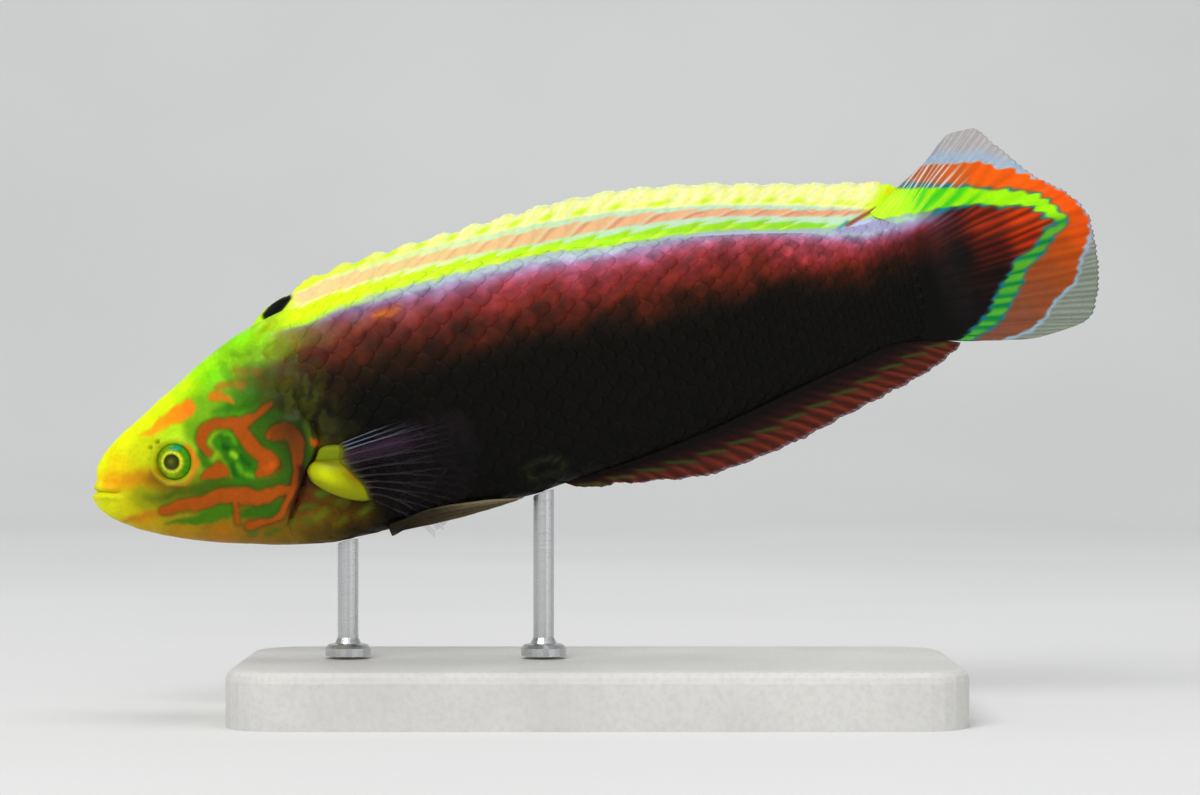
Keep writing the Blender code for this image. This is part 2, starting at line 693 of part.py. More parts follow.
def make_pectoral_fin(name, side, nodes):
    """A fan of rays on a fleshy root that lies along the flank."""
    tip_at = share_curve(PECTORAL_TIPS)
    front_top, front_bottom = PECTORAL_FRONT
    base_top, base_bottom = PECTORAL_RAY_BASE
    width = (base_top[1] - base_bottom[1]) * MM
    grid, halves = [], []
    for share, raised, notched in ray_columns(PECTORAL_RAYS, width):
        front = [between(front_top[i], front_bottom[i], share) * MM for i in (0, 1)]
        base = [between(base_top[i], base_bottom[i], share) * MM for i in (0, 1)]
        base[0] += PECTORAL_ROOT_BULGE * math.sin(math.pi * share)
        tip = list(tip_at(share))
        tip[0] -= NOTCH if notched else 0
        column, thickness = [], []
        for t in PECTORAL_ROWS:
            on_root = t < 0
            start, stop = (front, base) if on_root else (base, tip)
            part = t + 1 if on_root else t
            s, h = between(start[0], stop[0], part), between(start[1], stop[1], part)
            if on_root:
                half = between(PECTORAL_ROOT_HALF, ROOT_HALF, part)
                lift = PECTORAL_LIFT * part
            else:
                half = half_thickness(raised, t)
                lift = PECTORAL_LIFT + PECTORAL_SPREAD * t**PECTORAL_CURL
            column.append(flank_point(s, h, side, GAP + half + lift))
            thickness.append(half)
        grid.append(column)
        halves.append(thickness)
    return sheet(name, grid, halves, nodes)


def make_pelvic_fin(name, side, nodes):
    """A plain thin fan, folded back along the belly and longest at its outer side."""
    inner_at = smooth_curve([(t / MM, inner) for t, inner, _ in PELVIC_SIDES])
    outer_at = smooth_curve([(t / MM, outer) for t, _, outer in PELVIC_SIDES])
    reach_at = smooth_curve([(share / MM, reach / MM) for share, reach in PELVIC_REACH])
    grid, halves = [], []
    for k in range(PELVIC_COLUMNS):
        share = k / (PELVIC_COLUMNS - 1)
        column, thickness = [], []
        for t in FIN_ROWS:
            s = PELVIC_START + PELVIC_LENGTH * reach_at(share) * t
            y = between(inner_at(t), outer_at(t), share)
            half = half_thickness(False, t)
            h = belly_height_beside(s, y) - GAP - half - PELVIC_DROOP * t
            column.append(Vector((s, side * y, h)))
            thickness.append(half)
        grid.append(column)
        halves.append(thickness)
    return sheet(name, grid, halves, nodes)


def make_stand_base(nodes):
    """A flat plate with round corners and a softened upper edge, its underside on the floor."""
    bpy.ops.mesh.primitive_cube_add(size=1)
    base = bpy.context.object
    base.name = "stand_base"
    for owner in list(base.users_collection):
        owner.objects.unlink(base)
    nodes.objects.link(base)
    base.data.transform(Matrix.Diagonal((BASE_LENGTH, BASE_WIDTH, BASE_HEIGHT, 1)))
    base.location.z = BASE_HEIGHT / 2
    shape = bmesh.new()
    shape.from_mesh(base.data)
    upright = [e for e in shape.edges if abs(e.verts[0].co.z - e.verts[1].co.z) > HALF_GAP]
    bmesh.ops.bevel(
        shape, geom=upright, offset=BASE_CORNER, segments=6, profile=0.5, affect="EDGES"
    )
    rim = [e for e in shape.edges if all(v.co.z > 0 for v in e.verts)]
    bmesh.ops.bevel(shape, geom=rim, offset=BASE_EDGE, segments=3, profile=0.5, affect="EDGES")
    shape.to_mesh(base.data)
    shape.free()
    return base


def make_rod(name, s, pose, nodes, cutters):
    """A turned rod with a collar at its foot and a saddle at its top that fits the belly."""
    foot = BASE_HEIGHT + GAP
    meeting = pose @ Vector((s, 0, belly_at(s)))
    top = meeting.z + ROD_RADIUS * 2
    collar = [(radius * MM, foot + height * MM) for radius, height in COLLAR_PROFILE]
    profile = [(0, top), (ROD_RADIUS, top), *collar, (0, foot)]
    points = [(x, 0, z) for x, z in profile]
    mesh = bpy.data.meshes.new(name)
    mesh.from_pydata(points, [(i, i + 1) for i in range(len(points) - 1)], [])
    turned = bpy.data.objects.new(name + "_profile", mesh)
    cutters.objects.link(turned)
    screw = turned.modifiers.new("turn", "SCREW")
    screw.steps = screw.render_steps = 24
    screw.use_merge_vertices = True
    screw.merge_threshold = 0.01 * MM
    bpy.context.view_layer.update()
    graph = bpy.context.evaluated_depsgraph_get()
    solid = bpy.data.meshes.new_from_object(turned.evaluated_get(graph))
    bpy.data.objects.remove(turned)
    solid.transform(Matrix.Translation((meeting.x, 0, 0)))
    rod = bpy.data.objects.new(name, solid)
    nodes.objects.link(rod)
    face_outwards(rod)
    belly = body_length("belly", s - SADDLE_REACH, s + SADDLE_REACH, cutters, GAP)
    belly.data.transform(pose)
    return combine(rod, "DIFFERENCE", [belly])


def make_material(name, colour, roughness, metallic=0.0):
    material = bpy.data.materials.new(name)
    material.use_nodes = True
    shader = material.node_tree.nodes["Principled BSDF"]
    shader.inputs["Base Color"].default_value = (*colour, 1)
    shader.inputs["Roughness"].default_value = roughness
    shader.inputs["Metallic"].default_value = metallic
    return material


def finish_node(obj, material):
    obj.data.materials.clear()
    obj.data.materials.append(material)
    obj.data.shade_smooth()
    obj.data.set_sharp_from_angle(angle=SHARP_ANGLE)


def main():
    for obj in list(bpy.data.objects):
        bpy.data.objects.remove(obj)
    nodes = new_collection("radiant_wrasse_on_stand")
    cutters = new_collection("cutters", shown=False)

    pose = bpy.data.objects.new("fish_pose", None)
    nodes.objects.link(pose)
    pose.location = AXIS_START
    pose.rotation_euler.y = -NOSE_DOWN
    bpy.context.view_layer.update()

    whole = body_length("whole_body", BACK_KNOTS[0][0] * MM, BODY_END, cutters)
    fish = {
        "head": make_head(whole, nodes, cutters),
        "lower_jaw": make_lower_jaw(whole, nodes, cutters),
        "trunk": make_trunk(whole, nodes, cutters),
        "tail_stalk": make_tail_stalk(whole, nodes, cutters),
        "dorsal_fin": midline_fin(
            "dorsal_fin", DORSAL_SPINES + DORSAL_RAYS, DORSAL_START, DORSAL_END, back_at,
            smooth_curve(DORSAL_MARGIN_KNOTS), smooth_curve(DORSAL_LEAN_KNOTS), nodes
        ),
        "anal_fin": midline_fin(
            "anal_fin", ANAL_SPINES + ANAL_RAYS, ANAL_START, ANAL_END, belly_at,
            smooth_curve(ANAL_MARGIN_KNOTS), smooth_curve(ANAL_LEAN_KNOTS), nodes
        ),
        "tail_fin": make_tail_fin(nodes),
    }
    for word, side in SIDES.items():
        fish["gill_cover_" + word] = make_gill_cover("gill_cover_" + word, side, nodes, cutters)
        fish["eye_" + word] = eyeball("eye_" + word, side, 0.0, nodes)
        fish["pectoral_fin_" + word] = make_pectoral_fin("pectoral_fin_" + word, side, nodes)
        fish["pelvic_fin_" + word] = make_pelvic_fin("pelvic_fin_" + word, side, nodes)
    bpy.data.objects.remove(whole)

    stand = {"stand_base": make_stand_base(nodes)}
    for word, s in ROD_PLACES.items():
        name = "stand_rod_" + word
        stand[name] = make_rod(name, s, pose.matrix_world, nodes, cutters)

    materials = {name: make_material(name, *finish) for name, finish in FINISHES.items()}
    for name, obj in fish.items():
        obj.parent = pose
        kind = name.removesuffix("_left").removesuffix("_right")
        finish_node(obj, materials[FISH_FINISH.get(kind, "body_skin")])
    for name, obj in stand.items():
        finish_node(obj, materials["stand_metal" if "rod" in name else "stand_plate"])


main()
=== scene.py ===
"""A life-size model of a radiant wrasse on a plain display stand, with its stage."""

import math

import bpy
import numpy as np
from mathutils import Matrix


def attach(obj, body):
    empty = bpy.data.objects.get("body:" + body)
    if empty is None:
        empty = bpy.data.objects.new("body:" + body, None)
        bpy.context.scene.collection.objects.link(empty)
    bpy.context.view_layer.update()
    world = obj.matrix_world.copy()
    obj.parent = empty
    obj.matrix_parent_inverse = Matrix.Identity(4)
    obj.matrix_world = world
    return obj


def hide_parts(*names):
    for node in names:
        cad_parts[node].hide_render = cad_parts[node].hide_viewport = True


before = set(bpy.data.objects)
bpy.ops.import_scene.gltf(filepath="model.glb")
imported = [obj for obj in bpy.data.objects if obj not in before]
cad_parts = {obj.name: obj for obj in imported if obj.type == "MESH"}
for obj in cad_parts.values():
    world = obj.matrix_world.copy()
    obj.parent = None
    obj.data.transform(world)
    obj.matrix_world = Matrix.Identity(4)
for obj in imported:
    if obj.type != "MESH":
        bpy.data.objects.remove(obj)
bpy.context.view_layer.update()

bl_info = {
    "name": "Radiant wrasse model",
    "version": (1, 0, 0),
    "blender": (4, 5, 0),
    "location": "3D View > Sidebar > Wrasse",
    "description": "Builds the skin, scales, fins, eyes, stand and stage of a model fish",
    "category": "Object",
}

MM = 0.001

# The fish's own frame, in millimetres: s runs back from the snout, h runs up, y to its right.
# Knots are (place, value), read through smooth curves.
AXIS_START = (-53.4, 23.6)  # x and z of the frame's origin
NOSE_DOWN = math.radians(15)
COS, SIN = math.cos(NOSE_DOWN), math.sin(NOSE_DOWN)
SWAY_START, SWAY_AT_TAIL = 55, 3.5
SNOUT, BODY_END, TOTAL_LENGTH = -0.25, 90.5, 110
BACK_KNOTS = (
    (-0.25, -0.75), (0.5, 0.65), (1.15, 2.35), (3, 4.12), (6.9, 6.27), (12, 8.85), (17, 11.3),
    (21.8, 12.8), (26.4, 13.5), (34, 13.85), (43, 13.4), (53.4, 12.15), (63.9, 10.5),
    (74.3, 8.4), (82.5, 6.6), (86.5, 6.35), (90.5, 7.6),
)
BELLY_KNOTS = (
    (-0.25, -1.45), (0, -2.05), (0.7, -2.75), (2, -3.8), (3.8, -5.1), (7.7, -7.1), (11.6, -8.65),
    (15.7, -9.9), (19.8, -11.05), (24, -11.75), (30, -11.95), (38, -12.15), (45, -12.3),
    (48.5, -12), (55, -11.7), (63.6, -10.8), (69.4, -9.85), (75.2, -8.75), (80.9, -7.75),
    (86.5, -6.95), (90.5, -7.5),
)
HALF_WIDTH_KNOTS = (
    (-0.25, 0.5), (0.5, 1.35), (1.5, 1.95), (3, 2.55), (6, 3.45), (9, 4.15), (13, 4.95),
    (18, 5.65), (24, 6.15), (31, 6.4), (40, 6.25), (48, 5.8), (57, 5.1), (66, 4.3), (75, 3.4),
    (83, 2.5), (90.5, 1.25),
)
WIDEST_ABOVE_MIDDLE = 0.06  # of the depth
ROUND_ABOVE_KNOTS = ((0, 0.8), (10, 0.85), (30, 1), (90, 1))
ROUND_BELOW_KNOTS = ((0, 0.9), (10, 0.95), (30, 0.82), (50, 0.9), (90, 1))

NECK_LINE = (
    (17.4, 16), (18.6, 12.6), (20.6, 8), (23.1, 3), (24.5, -0.6), (23.5, -2.5), (22.1, -4.2),
    (21.1, -5.6), (20.1, -7.2), (18.7, -9), (17.1, -11), (16.3, -14),
)
MOUTH_LINE = ((-3, 0), (0.3, -0.15), (2.7, -0.85))
JAW_LINE = ((4.3, -2.7), (5, -4.7), (4.9, -9))
CHEEK_EDGE = (
    (18.2, 2.5), (16.3, 0.6), (15.5, -2.4), (15.7, -5.4), (16.5, -7.6), (18, -9.1),
)
EYE_S, EYE_H = 9.65, 0.8
EYE_RADIUS, EYE_DEPTH, EYE_SUNK = 1.9, 1.45, 0.62
NOSTRILS = ((7.1, 2.9, 0.2), (8.0, 3.25, 0.24))  # s, h and radius
VIEW_DISTANCE, VIEW_MIDDLE = 352.6, (0.26, 33.58)  # the camera's distance and its x and z


def curve(knots):
    """A smooth function through (place, value) knots that takes arrays of places."""
    places, values = np.array(knots, float).T
    widths = np.diff(places)
    rises = np.diff(values) / widths
    before, after = rises[:-1], rises[1:]
    same_way = before * after > 0
    total = np.where(same_way, before + after, 1)
    slopes = np.concatenate(
        [rises[:1], np.where(same_way, 2 * before * after / total, 0), rises[-1:]]
    )

    def value_at(place):
        place = np.clip(np.asarray(place, float), places[0], places[-1])
        i = np.clip(np.searchsorted(places, place, side="right") - 1, 0, len(widths) - 1)
        width = widths[i]
        t = (place - places[i]) / width
        return (
            values[i] * (1 + 2 * t) * (1 - t) ** 2 + slopes[i] * width * t * (1 - t) ** 2
            + values[i + 1] * t * t * (3 - 2 * t) + slopes[i + 1] * width * t * t * (t - 1)
        )

    return value_at


def ease(t):
    """Goes smoothly from 0 to 1 as t does."""
    t = np.clip(t, 0, 1)
    return t * t * (3 - 2 * t)


def rise(value, start, over):
    """0 up to the start, and 1 once the value is past it by over."""
    return ease((value - start) / over)


def fall(value, end, over):
    """1 at first, then down to 0 at the end, over the stretch before it."""
    return ease((end - value) / over)


def edge(gap, soft):
    """1 inside an edge and 0 outside, fading over soft, where gap is the distance outside it."""
    return ease(0.5 - gap / soft)


def hump(value, middle, width):
    return np.exp(-(((value - middle) / width) ** 2))


def swell(turns):
    """Waves between 0 and 1."""
    return 0.5 + 0.5 * np.sin(math.tau * turns)


def dip(turns):
    """0 at each whole turn and 1 half-way between two."""
    return (1 - np.cos(math.tau * turns)) / 2


def between(a, b, t):
    a = np.asarray(a, float)
    return a + (np.asarray(b, float) - a) * t


back_at = curve(BACK_KNOTS)
belly_at = curve(BELLY_KNOTS)
half_width_at = curve(HALF_WIDTH_KNOTS)
round_above_at = curve(ROUND_ABOVE_KNOTS)
round_below_at = curve(ROUND_BELOW_KNOTS)
neck_at = curve([(-h, s) for s, h in NECK_LINE])
mouth_at = curve(MOUTH_LINE)


def sway_at(s):
    """How far the swimming bend has moved the middle line to the fish's right."""
    return SWAY_AT_TAIL * (np.maximum(s - SWAY_START, 0) / (TOTAL_LENGTH - SWAY_START)) ** 2


def level_at(s):
    """The height at which the body is widest."""
    top, bottom = back_at(s), belly_at(s)
    return (top + bottom) / 2 + WIDEST_ABOVE_MIDDLE * (top - bottom)


def half_width_at_height(s, h):
    """The body's half-width at a height, from its middle line."""
    level = level_at(s)
    above = h > level
    reach = np.where(above, back_at(s) - level, level - belly_at(s))
    power = np.where(above, round_above_at(s), round_below_at(s))
    across = np.maximum(1 - ((h - level) / reach) ** 2, 0)
    return half_width_at(s) * across ** (power / 2)


def belly_height_beside(s, y):
    """The height of the belly's surface at a distance y from the middle line."""
    level = level_at(s)
    down = np.clip(y / half_width_at(s), 0, 1) ** (2 / round_below_at(s))
    return level - (level - belly_at(s)) * np.sqrt(np.maximum(1 - down, 0))


def body_point(s, turn):
    """Points of the plain body surface, turn running from the back round by the fish's right."""
    level = level_at(s)
    up, out = np.cos(turn), np.sin(turn)
    reach = np.where(up > 0, back_at(s) - level, level - belly_at(s))
    power = np.where(up > 0, round_above_at(s), round_below_at(s))
    y = np.copysign(half_width_at(s) * np.abs(out) ** power, out)
    return np.stack([s + 0 * turn, y, level + reach * up], axis=-1)


def flank_point(s, h, side):
    return np.stack([s, side * half_width_at_height(s, h), h], axis=-1)


def flank_normal(s, h, side):
    """The outward direction of the body's side at a place."""
    small = 0.02
    along = flank_point(s + small, h, side) - flank_point(s - small, h, side)
    upward = flank_point(s, h + small, side) - flank_point(s, h - small, side)
    out = np.cross(upward, along) * side
    return out / np.linalg.norm(out, axis=-1, keepdims=True)


def tilted(s, h):
    """x and z of places on the middle plane with the fish nose down, in millimetres."""
    return AXIS_START[0] + s * COS - h * SIN, AXIS_START[1] + s * SIN + h * COS


def placed(points):
    """Fish points in millimetres, with the tail's sway added, as scene points in metres."""
    s, y, h = np.moveaxis(np.asarray(points, float), -1, 0)
    x, z = tilted(s, h)
    return np.stack([x, y + sway_at(s), z], axis=-1) * MM


def seen(points):
    """(s, h) at which a place shows in the photo, as if it lay on the middle plane."""
    s, y, h = np.moveaxis(np.asarray(points, float), -1, 0)
    nearer = VIEW_DISTANCE / (VIEW_DISTANCE - np.abs(y) + sway_at(s))
    x, z = (
        middle + (value - middle) * nearer - start
        for value, middle, start in zip(tilted(s, h), VIEW_MIDDLE, AXIS_START)
    )
    return x * COS + z * SIN, z * COS - x * SIN


def unit(directions):
    return directions / np.maximum(np.linalg.norm(directions, axis=-1, keepdims=True), 1e-12)


def surface_normals(grid):
    """Unit normals of a grid of points, to the side that along x across gives."""
    return unit(np.cross(np.gradient(grid, axis=0), np.gradient(grid, axis=1)))


def waves(s, h, seed, size, octaves=3):
    """Smooth, seeded unevenness from about -1 to 1 with features of the given size."""
    rng = np.random.default_rng(seed)
    total = np.zeros(np.broadcast(s, h).shape)
    weight_sum = 0
    for octave in range(octaves):
        weight = 0.6**octave
        for _ in range(5):
            direction, phase = rng.uniform(0, math.tau, 2)
            pitch = size / 1.9**octave * rng.uniform(0.8, 1.3)
            total += weight * np.sin(
                math.tau * (s * math.cos(direction) + h * math.sin(direction)) / pitch + phase
            )
        weight_sum += weight
    return total / weight_sum / 2.2


def smooth_line(points, pieces=6):
    """A rounded line through points, with any further values of each rounded too."""
    points = np.array(points, float)
    if len(points) < 3:
        return points
    padded = np.vstack([2 * points[0] - points[1], points, 2 * points[-1] - points[-2]])
    t = np.linspace(0, 1, pieces, endpoint=False)[:, None]
    parts = [
        0.5 * (2 * b + (c - a) * t + (2 * a - 5 * b + 4 * c - d) * t**2
               + (3 * b - a - 3 * c + d) * t**3)
        for a, b, c, d in zip(padded, padded[1:], padded[2:], padded[3:])
    ]
    return np.vstack(parts + [points[-1:]])


FAR = 1000


def reach_of_segment(s, h, start, end):
    """Distance from each place to a segment, and the share along it of the nearest point."""
    ds, dh = end[0] - start[0], end[1] - start[1]
    t = ((s - start[0]) * ds + (h - start[1]) * dh) / max(ds * ds + dh * dh, 1e-9)
    t = np.clip(t, 0, 1)
    return np.hypot(s - start[0] - t * ds, h - start[1] - t * dh), t


def reach_of_line(s, h, line):
    """Distance from each place to a line's edge, negative inside, and the share along it."""
    best = np.full(s.shape, FAR)
    share = np.zeros(s.shape)
    for k, (start, end) in enumerate(zip(line, line[1:])):
        away, t = reach_of_segment(s, h, start, end)
        gap = away - between(start[2], end[2], t) / 2
        share = np.where(gap < best, (k + t) / (len(line) - 1), share)
        best = np.minimum(best, gap)
    return best, share


def inside_outline(s, h, outline):
    """Distance from each place to a closed outline, negative inside it."""
    corners = np.array(outline, float)
    best = np.full(s.shape, FAR)
    inside = np.zeros(s.shape, bool)
    for start, end in zip(corners, np.roll(corners, -1, axis=0)):
        best = np.minimum(best, reach_of_segment(s, h, start, end)[0])
        if end[1] != start[1]:
            slope = (end[0] - start[0]) / (end[1] - start[1])
            crosses = (start[1] > h) != (end[1] > h)
            inside ^= crosses & (s < start[0] + (h - start[1]) * slope)
    return np.where(inside, -best, best)


def linear(tone):
    """A screen tone as the linear colour that materials use."""
    tone = np.asarray(tone, float)
    return np.where(tone <= 0.04045, tone / 12.92, ((tone + 0.055) / 1.055) ** 2.4)


DARKEST = 0.004


class Paint:
    """Colours laid one over another at places on the fish, in screen tones."""

    def __init__(self, s, h, tone, wobble=0.18):
        self.s = s + wobble * waves(s, h, 3, 3.6, 2)
        self.h = h + wobble * waves(s, h, 4, 3.3, 2)
        self.tones = np.broadcast_to(np.array(tone, float), s.shape + (3,)).copy()

    def lay(self, tone, cover):
        cover = np.clip(cover, 0, 1)[..., None]
        self.tones = self.tones * (1 - cover) + np.asarray(tone, float) * cover

    def mark(self, places, tone, soft, strength, end_tone=None):
        """A line through (s, h, width) places or a filled outline of (s, h) ones, soft-edged."""
        filled = len(places[0]) == 2
        line = smooth_line([*places, places[0]] if filled else places)
        margin = soft + (0 if filled else line[:, 2].max() / 2)
        low, high = line[:, :2].min(axis=0) - margin, line[:, :2].max(axis=0) + margin
        near = (self.s > low[0]) & (self.s < high[0]) & (self.h > low[1]) & (self.h < high[1])
        cover, share = np.zeros(self.s.shape), np.zeros(self.s.shape)
        if filled:
            gap = inside_outline(self.s[near], self.h[near], line[:-1])
        else:
            gap, share[near] = reach_of_line(self.s[near], self.h[near], line)
        cover[near] = strength * edge(gap, soft)
        if end_tone is not None:
            tone = between(tone, end_tone, share[..., None])
        self.lay(tone, cover)

    def mark_all(self, rows):
        for row in rows:
            self.mark(*row)

    def finished(self):
        return linear(np.clip(self.tones, DARKEST, 1))


# Where the base tones of the head change, as (s, h, tone), with the tones blended between them.
HEAD_TONES = (
    (0, -0.2, (0.95, 0.95, 0.1)), (0.4, -1.6, (0.88, 0.9, 0.05)), (1.5, 2.8, (0.95, 1, 0.02)),
    (4.4, 4.8, (0.95, 1, 0)), (6.9, 6.2, (0.93, 1, 0)), (9.4, 7.5, (0.9, 1, 0)),
    (12, 8.8, (0.82, 1, 0)), (14.5, 10.1, (0.68, 0.98, 0)), (19.4, 12, (0.55, 0.93, 0)),
    (23.9, 12.4, (0.6, 0.93, 0)), (2.5, 1, (0.95, 0.75, 0.03)), (3, 2, (0.95, 0.85, 0)),
    (6.6, 2.7, (0.82, 0.86, 0)), (7.4, 1.9, (0.72, 0.74, 0.02)), (10, 3.8, (0.72, 0.9, 0.05)),
    (13.4, 5.8, (0.46, 0.7, 0)), (12, 3.6, (0.42, 0.64, 0)), (15.5, 8.5, (0.5, 0.87, 0)),
    (11.8, 0.7, (0.6, 0.74, 0.08)), (16.5, 4.3, (0.3, 0.6, 0)), (18.4, 5.8, (0.24, 0.48, 0)),
    (20.4, 5.4, (0.3, 0.36, 0)), (20.9, 6.9, (0.38, 0.34, 0.02)), (23.2, 7.1, (0.36, 0.27, 0.04)),
    (20.5, 9.8, (0.48, 0.7, 0)), (23, 9.8, (0.45, 0.58, 0.02)), (22, 11, (0.6, 0.88, 0)),
    (22.8, 12.5, (0.88, 1, 0)), (24.3, 11.4, (0.82, 0.97, 0)), (22.2, 3.9, (0.21, 0.23, 0.01)),
    (25.5, 5, (0.22, 0.2, 0.03)), (26, 1.3, (0.08, 0.07, 0.02)), (5.1, -1.9, (0.58, 0.6, 0)),
    (7.5, -3.2, (0.46, 0.5, 0)), (1.2, -1.8, (0.86, 0.88, 0.02)), (2.6, -3.4, (0.82, 0.78, 0)),
    (4.4, -4.6, (0.78, 0.62, 0)), (8, -6.3, (0.7, 0.52, 0)), (11.9, -7.7, (0.68, 0.44, 0)),
    (15.9, -9.2, (0.57, 0.4, 0.02)), (12, -5.2, (0.44, 0.43, 0)), (17, -7.9, (0.5, 0.36, 0.01)),
    (19, -10.3, (0.5, 0.38, 0.03)), (12.4, -2.2, (0.4, 0.48, 0)), (19.5, 1.6, (0.28, 0.4, 0.01)),
    (21.6, -6.6, (0.34, 0.17, 0.01)), (23.3, -4.6, (0.2, 0.09, 0.01)),
    (24, -7.4, (0.42, 0.28, 0.02)), (22.5, -8.6, (0.48, 0.38, 0.02)),
    (26.5, -9.4, (0.34, 0.28, 0.03)), (29, -6, (0.16, 0.13, 0.02)), (27, 8.4, (0.36, 0.2, 0.12)),
    (29, 2, (0.08, 0.07, 0.02)), (31, -9, (0.1, 0.09, 0.02)),
)
CHEEK_STROKES = (  # (places, widths)
    (((6.7, -3.9), (8.5, -3.9), (10.2, -4), (12.1, -4), (13.6, -4), (14.9, -4.2), (16, -4.9),
      (17.2, -5.3), (18.3, -5), (19.5, -4.9), (20.4, -5.1)),
     (0.85, 1.13, 1.27, 1.34, 1.41, 1.69, 1.76, 1.41, 1, 0.92, 0.71)),
    (((14.4, -4.7), (14.2, -5.8), (13.9, -7)), (0.42, 0.4)),
    (((19.6, 0.8), (20.3, 1), (21.4, 1), (22, 0.1), (22.1, -1.1), (21.9, -2.3), (21.6, -3.4),
      (21, -4.4), (20.4, -5.4), (19.6, -6.4), (18.6, -7.2), (17.4, -7.6), (16.2, -7.8),
      (14.8, -7.7)),
     (0.85, 1.55, 1.69, 1.41, 1.13, 0.99, 0.85, 0.78, 0.71, 0.63, 0.63, 0.56, 0.63, 0.71)),
    (((12.9, 1), (12.5, 2.1), (13, 3.1), (14.2, 3.6), (15.4, 3.4), (16.3, 3), (17.5, 2.9),
      (18.5, 3.4), (19.6, 3.7), (20.7, 3.9)),
     (0.71, 0.99, 1.2, 1.27, 1.06, 1.27, 1.13, 0.78, 0.71, 0.49)),
    (((16.6, 2.8), (17.1, 1.6), (17.5, 0.3), (18.1, -0.8), (18.9, -1.6), (19.5, -2)),
     (1.41, 1.41, 1.34, 1.41, 1.41, 0.99)),
)
CHEEK_PATCHES = (
    ((13.4, -0.2), (11.6, -1.2), (11.6, -1.7), (13.4, -2.2), (14.3, -2.2), (14.3, -1.1)),
    ((17.9, -0.5), (19.4, -1), (20, -1.7), (19.7, -2.4), (18.5, -3), (17.6, -3.1), (17.2, -2.6),
     (17.6, -2)),
)
CHEEK_SPOTS = (  # (places with widths, tone)
    (((15, 2.2, 0.5), (15.7, 1.9, 0.5), (15.9, 1.2, 0.5)), (0.36, 0.66, 0.03)),
    (((14.1, 1.6, 0.5), (14.2, 0.8, 0.5)), (0.22, 0.55, 0.02)),
    (((14.6, 0.85, 0.6), (14.95, 0.7, 0.6)), (0.03, 0.28, 0.03)),
    (((15.4, 0.05, 0.62), (15.75, -0.4, 0.62)), (0.68, 0.88, 0.1)),
    (((16.3, -0.4, 0.5), (16.7, -1.4, 0.5)), (0.06, 0.3, 0.02)),
    (((15.6, -1.4, 0.6), (15.8, -1.9, 0.6)), (0.4, 0.68, 0.04)),
    (((16.3, -2.4, 0.7), (16.8, -2.7, 0.7)), (0.42, 0.68, 0.04)),
    (((15, -1.2, 0.5), (15, -2.2, 0.5)), (0.08, 0.33, 0)),
)


def cheek_marks(tone, extra, soft, strength):
    """The cheek's bands and blots in one tone, the bands wider by extra millimetres."""
    for places, widths in CHEEK_STROKES:
        ends = np.linspace(0, 1, len(places)), np.linspace(0, 1, len(widths))
        spread = np.interp(*ends, widths) + extra
        yield np.column_stack([places, spread]), tone, soft, strength
    for outline in CHEEK_PATCHES:
        yield outline, tone, soft, strength


def flecks(places, start, end, tone, soft, width):
    """Short marks of one kind, each from start to end round its place."""
    for place in places:
        ends = ((place[0] + step[0], place[1] + step[1], width) for step in (start, end))
        yield tuple(ends), tone, soft, 0.75


# Rows are (places, tone, softness, strength) and a line's tone at its far end where that differs.
# A place has a width where the row is a line, and none where it is a filled outline.
TRUNK_MARKS = (
    (((85.5, 7.4, 0.8), (87.5, 7.5, 2), (90.5, 7.5, 2.7), (93, 7.2, 2.5)), (0.74, 0.99, 0.03),
     0.7, 0.97),
    (((88, -7.6, 0.4), (90.5, -8.1, 0.9), (92, -8.5, 0.9)), (0.3, 0.12, 0.06), 0.6, 0.7),
    (((24, -5.5, 2), (25, -8, 3), (27, -10, 2.5)), (0.4, 0.28, 0.02), 4.5, 0.85),
    *flecks(
        ((23.6, -6.4), (22.8, -8.6), (25.2, -8), (24.6, -10), (27.4, -9.4), (26.6, -7.2)),
        (-0.5, 0), (0.4, 0.2), (0.38, 0.48, 0.04), 0.9, 0.7,
    ),
    (((33.9, 10.3, 0.6), (35.8, 10.3, 0.6)), (0.95, 0.5, 0.1), 1, 0.85),
    (((83.4, 6.3, 0.7), (86.5, 5.8, 1), (90, 5.4, 0.8)), (0.6, 0.55, 0.75), 0.8, 0.75),
    (((44.6, -9.3, 0.3), (45.4, -10.6, 0.3), (48.6, -10.6, 0.3), (48, -9.2, 0.3),
     (44.6, -9.3, 0.3)), (0.25, 0.27, 0.12), 0.7, 0.6),
)
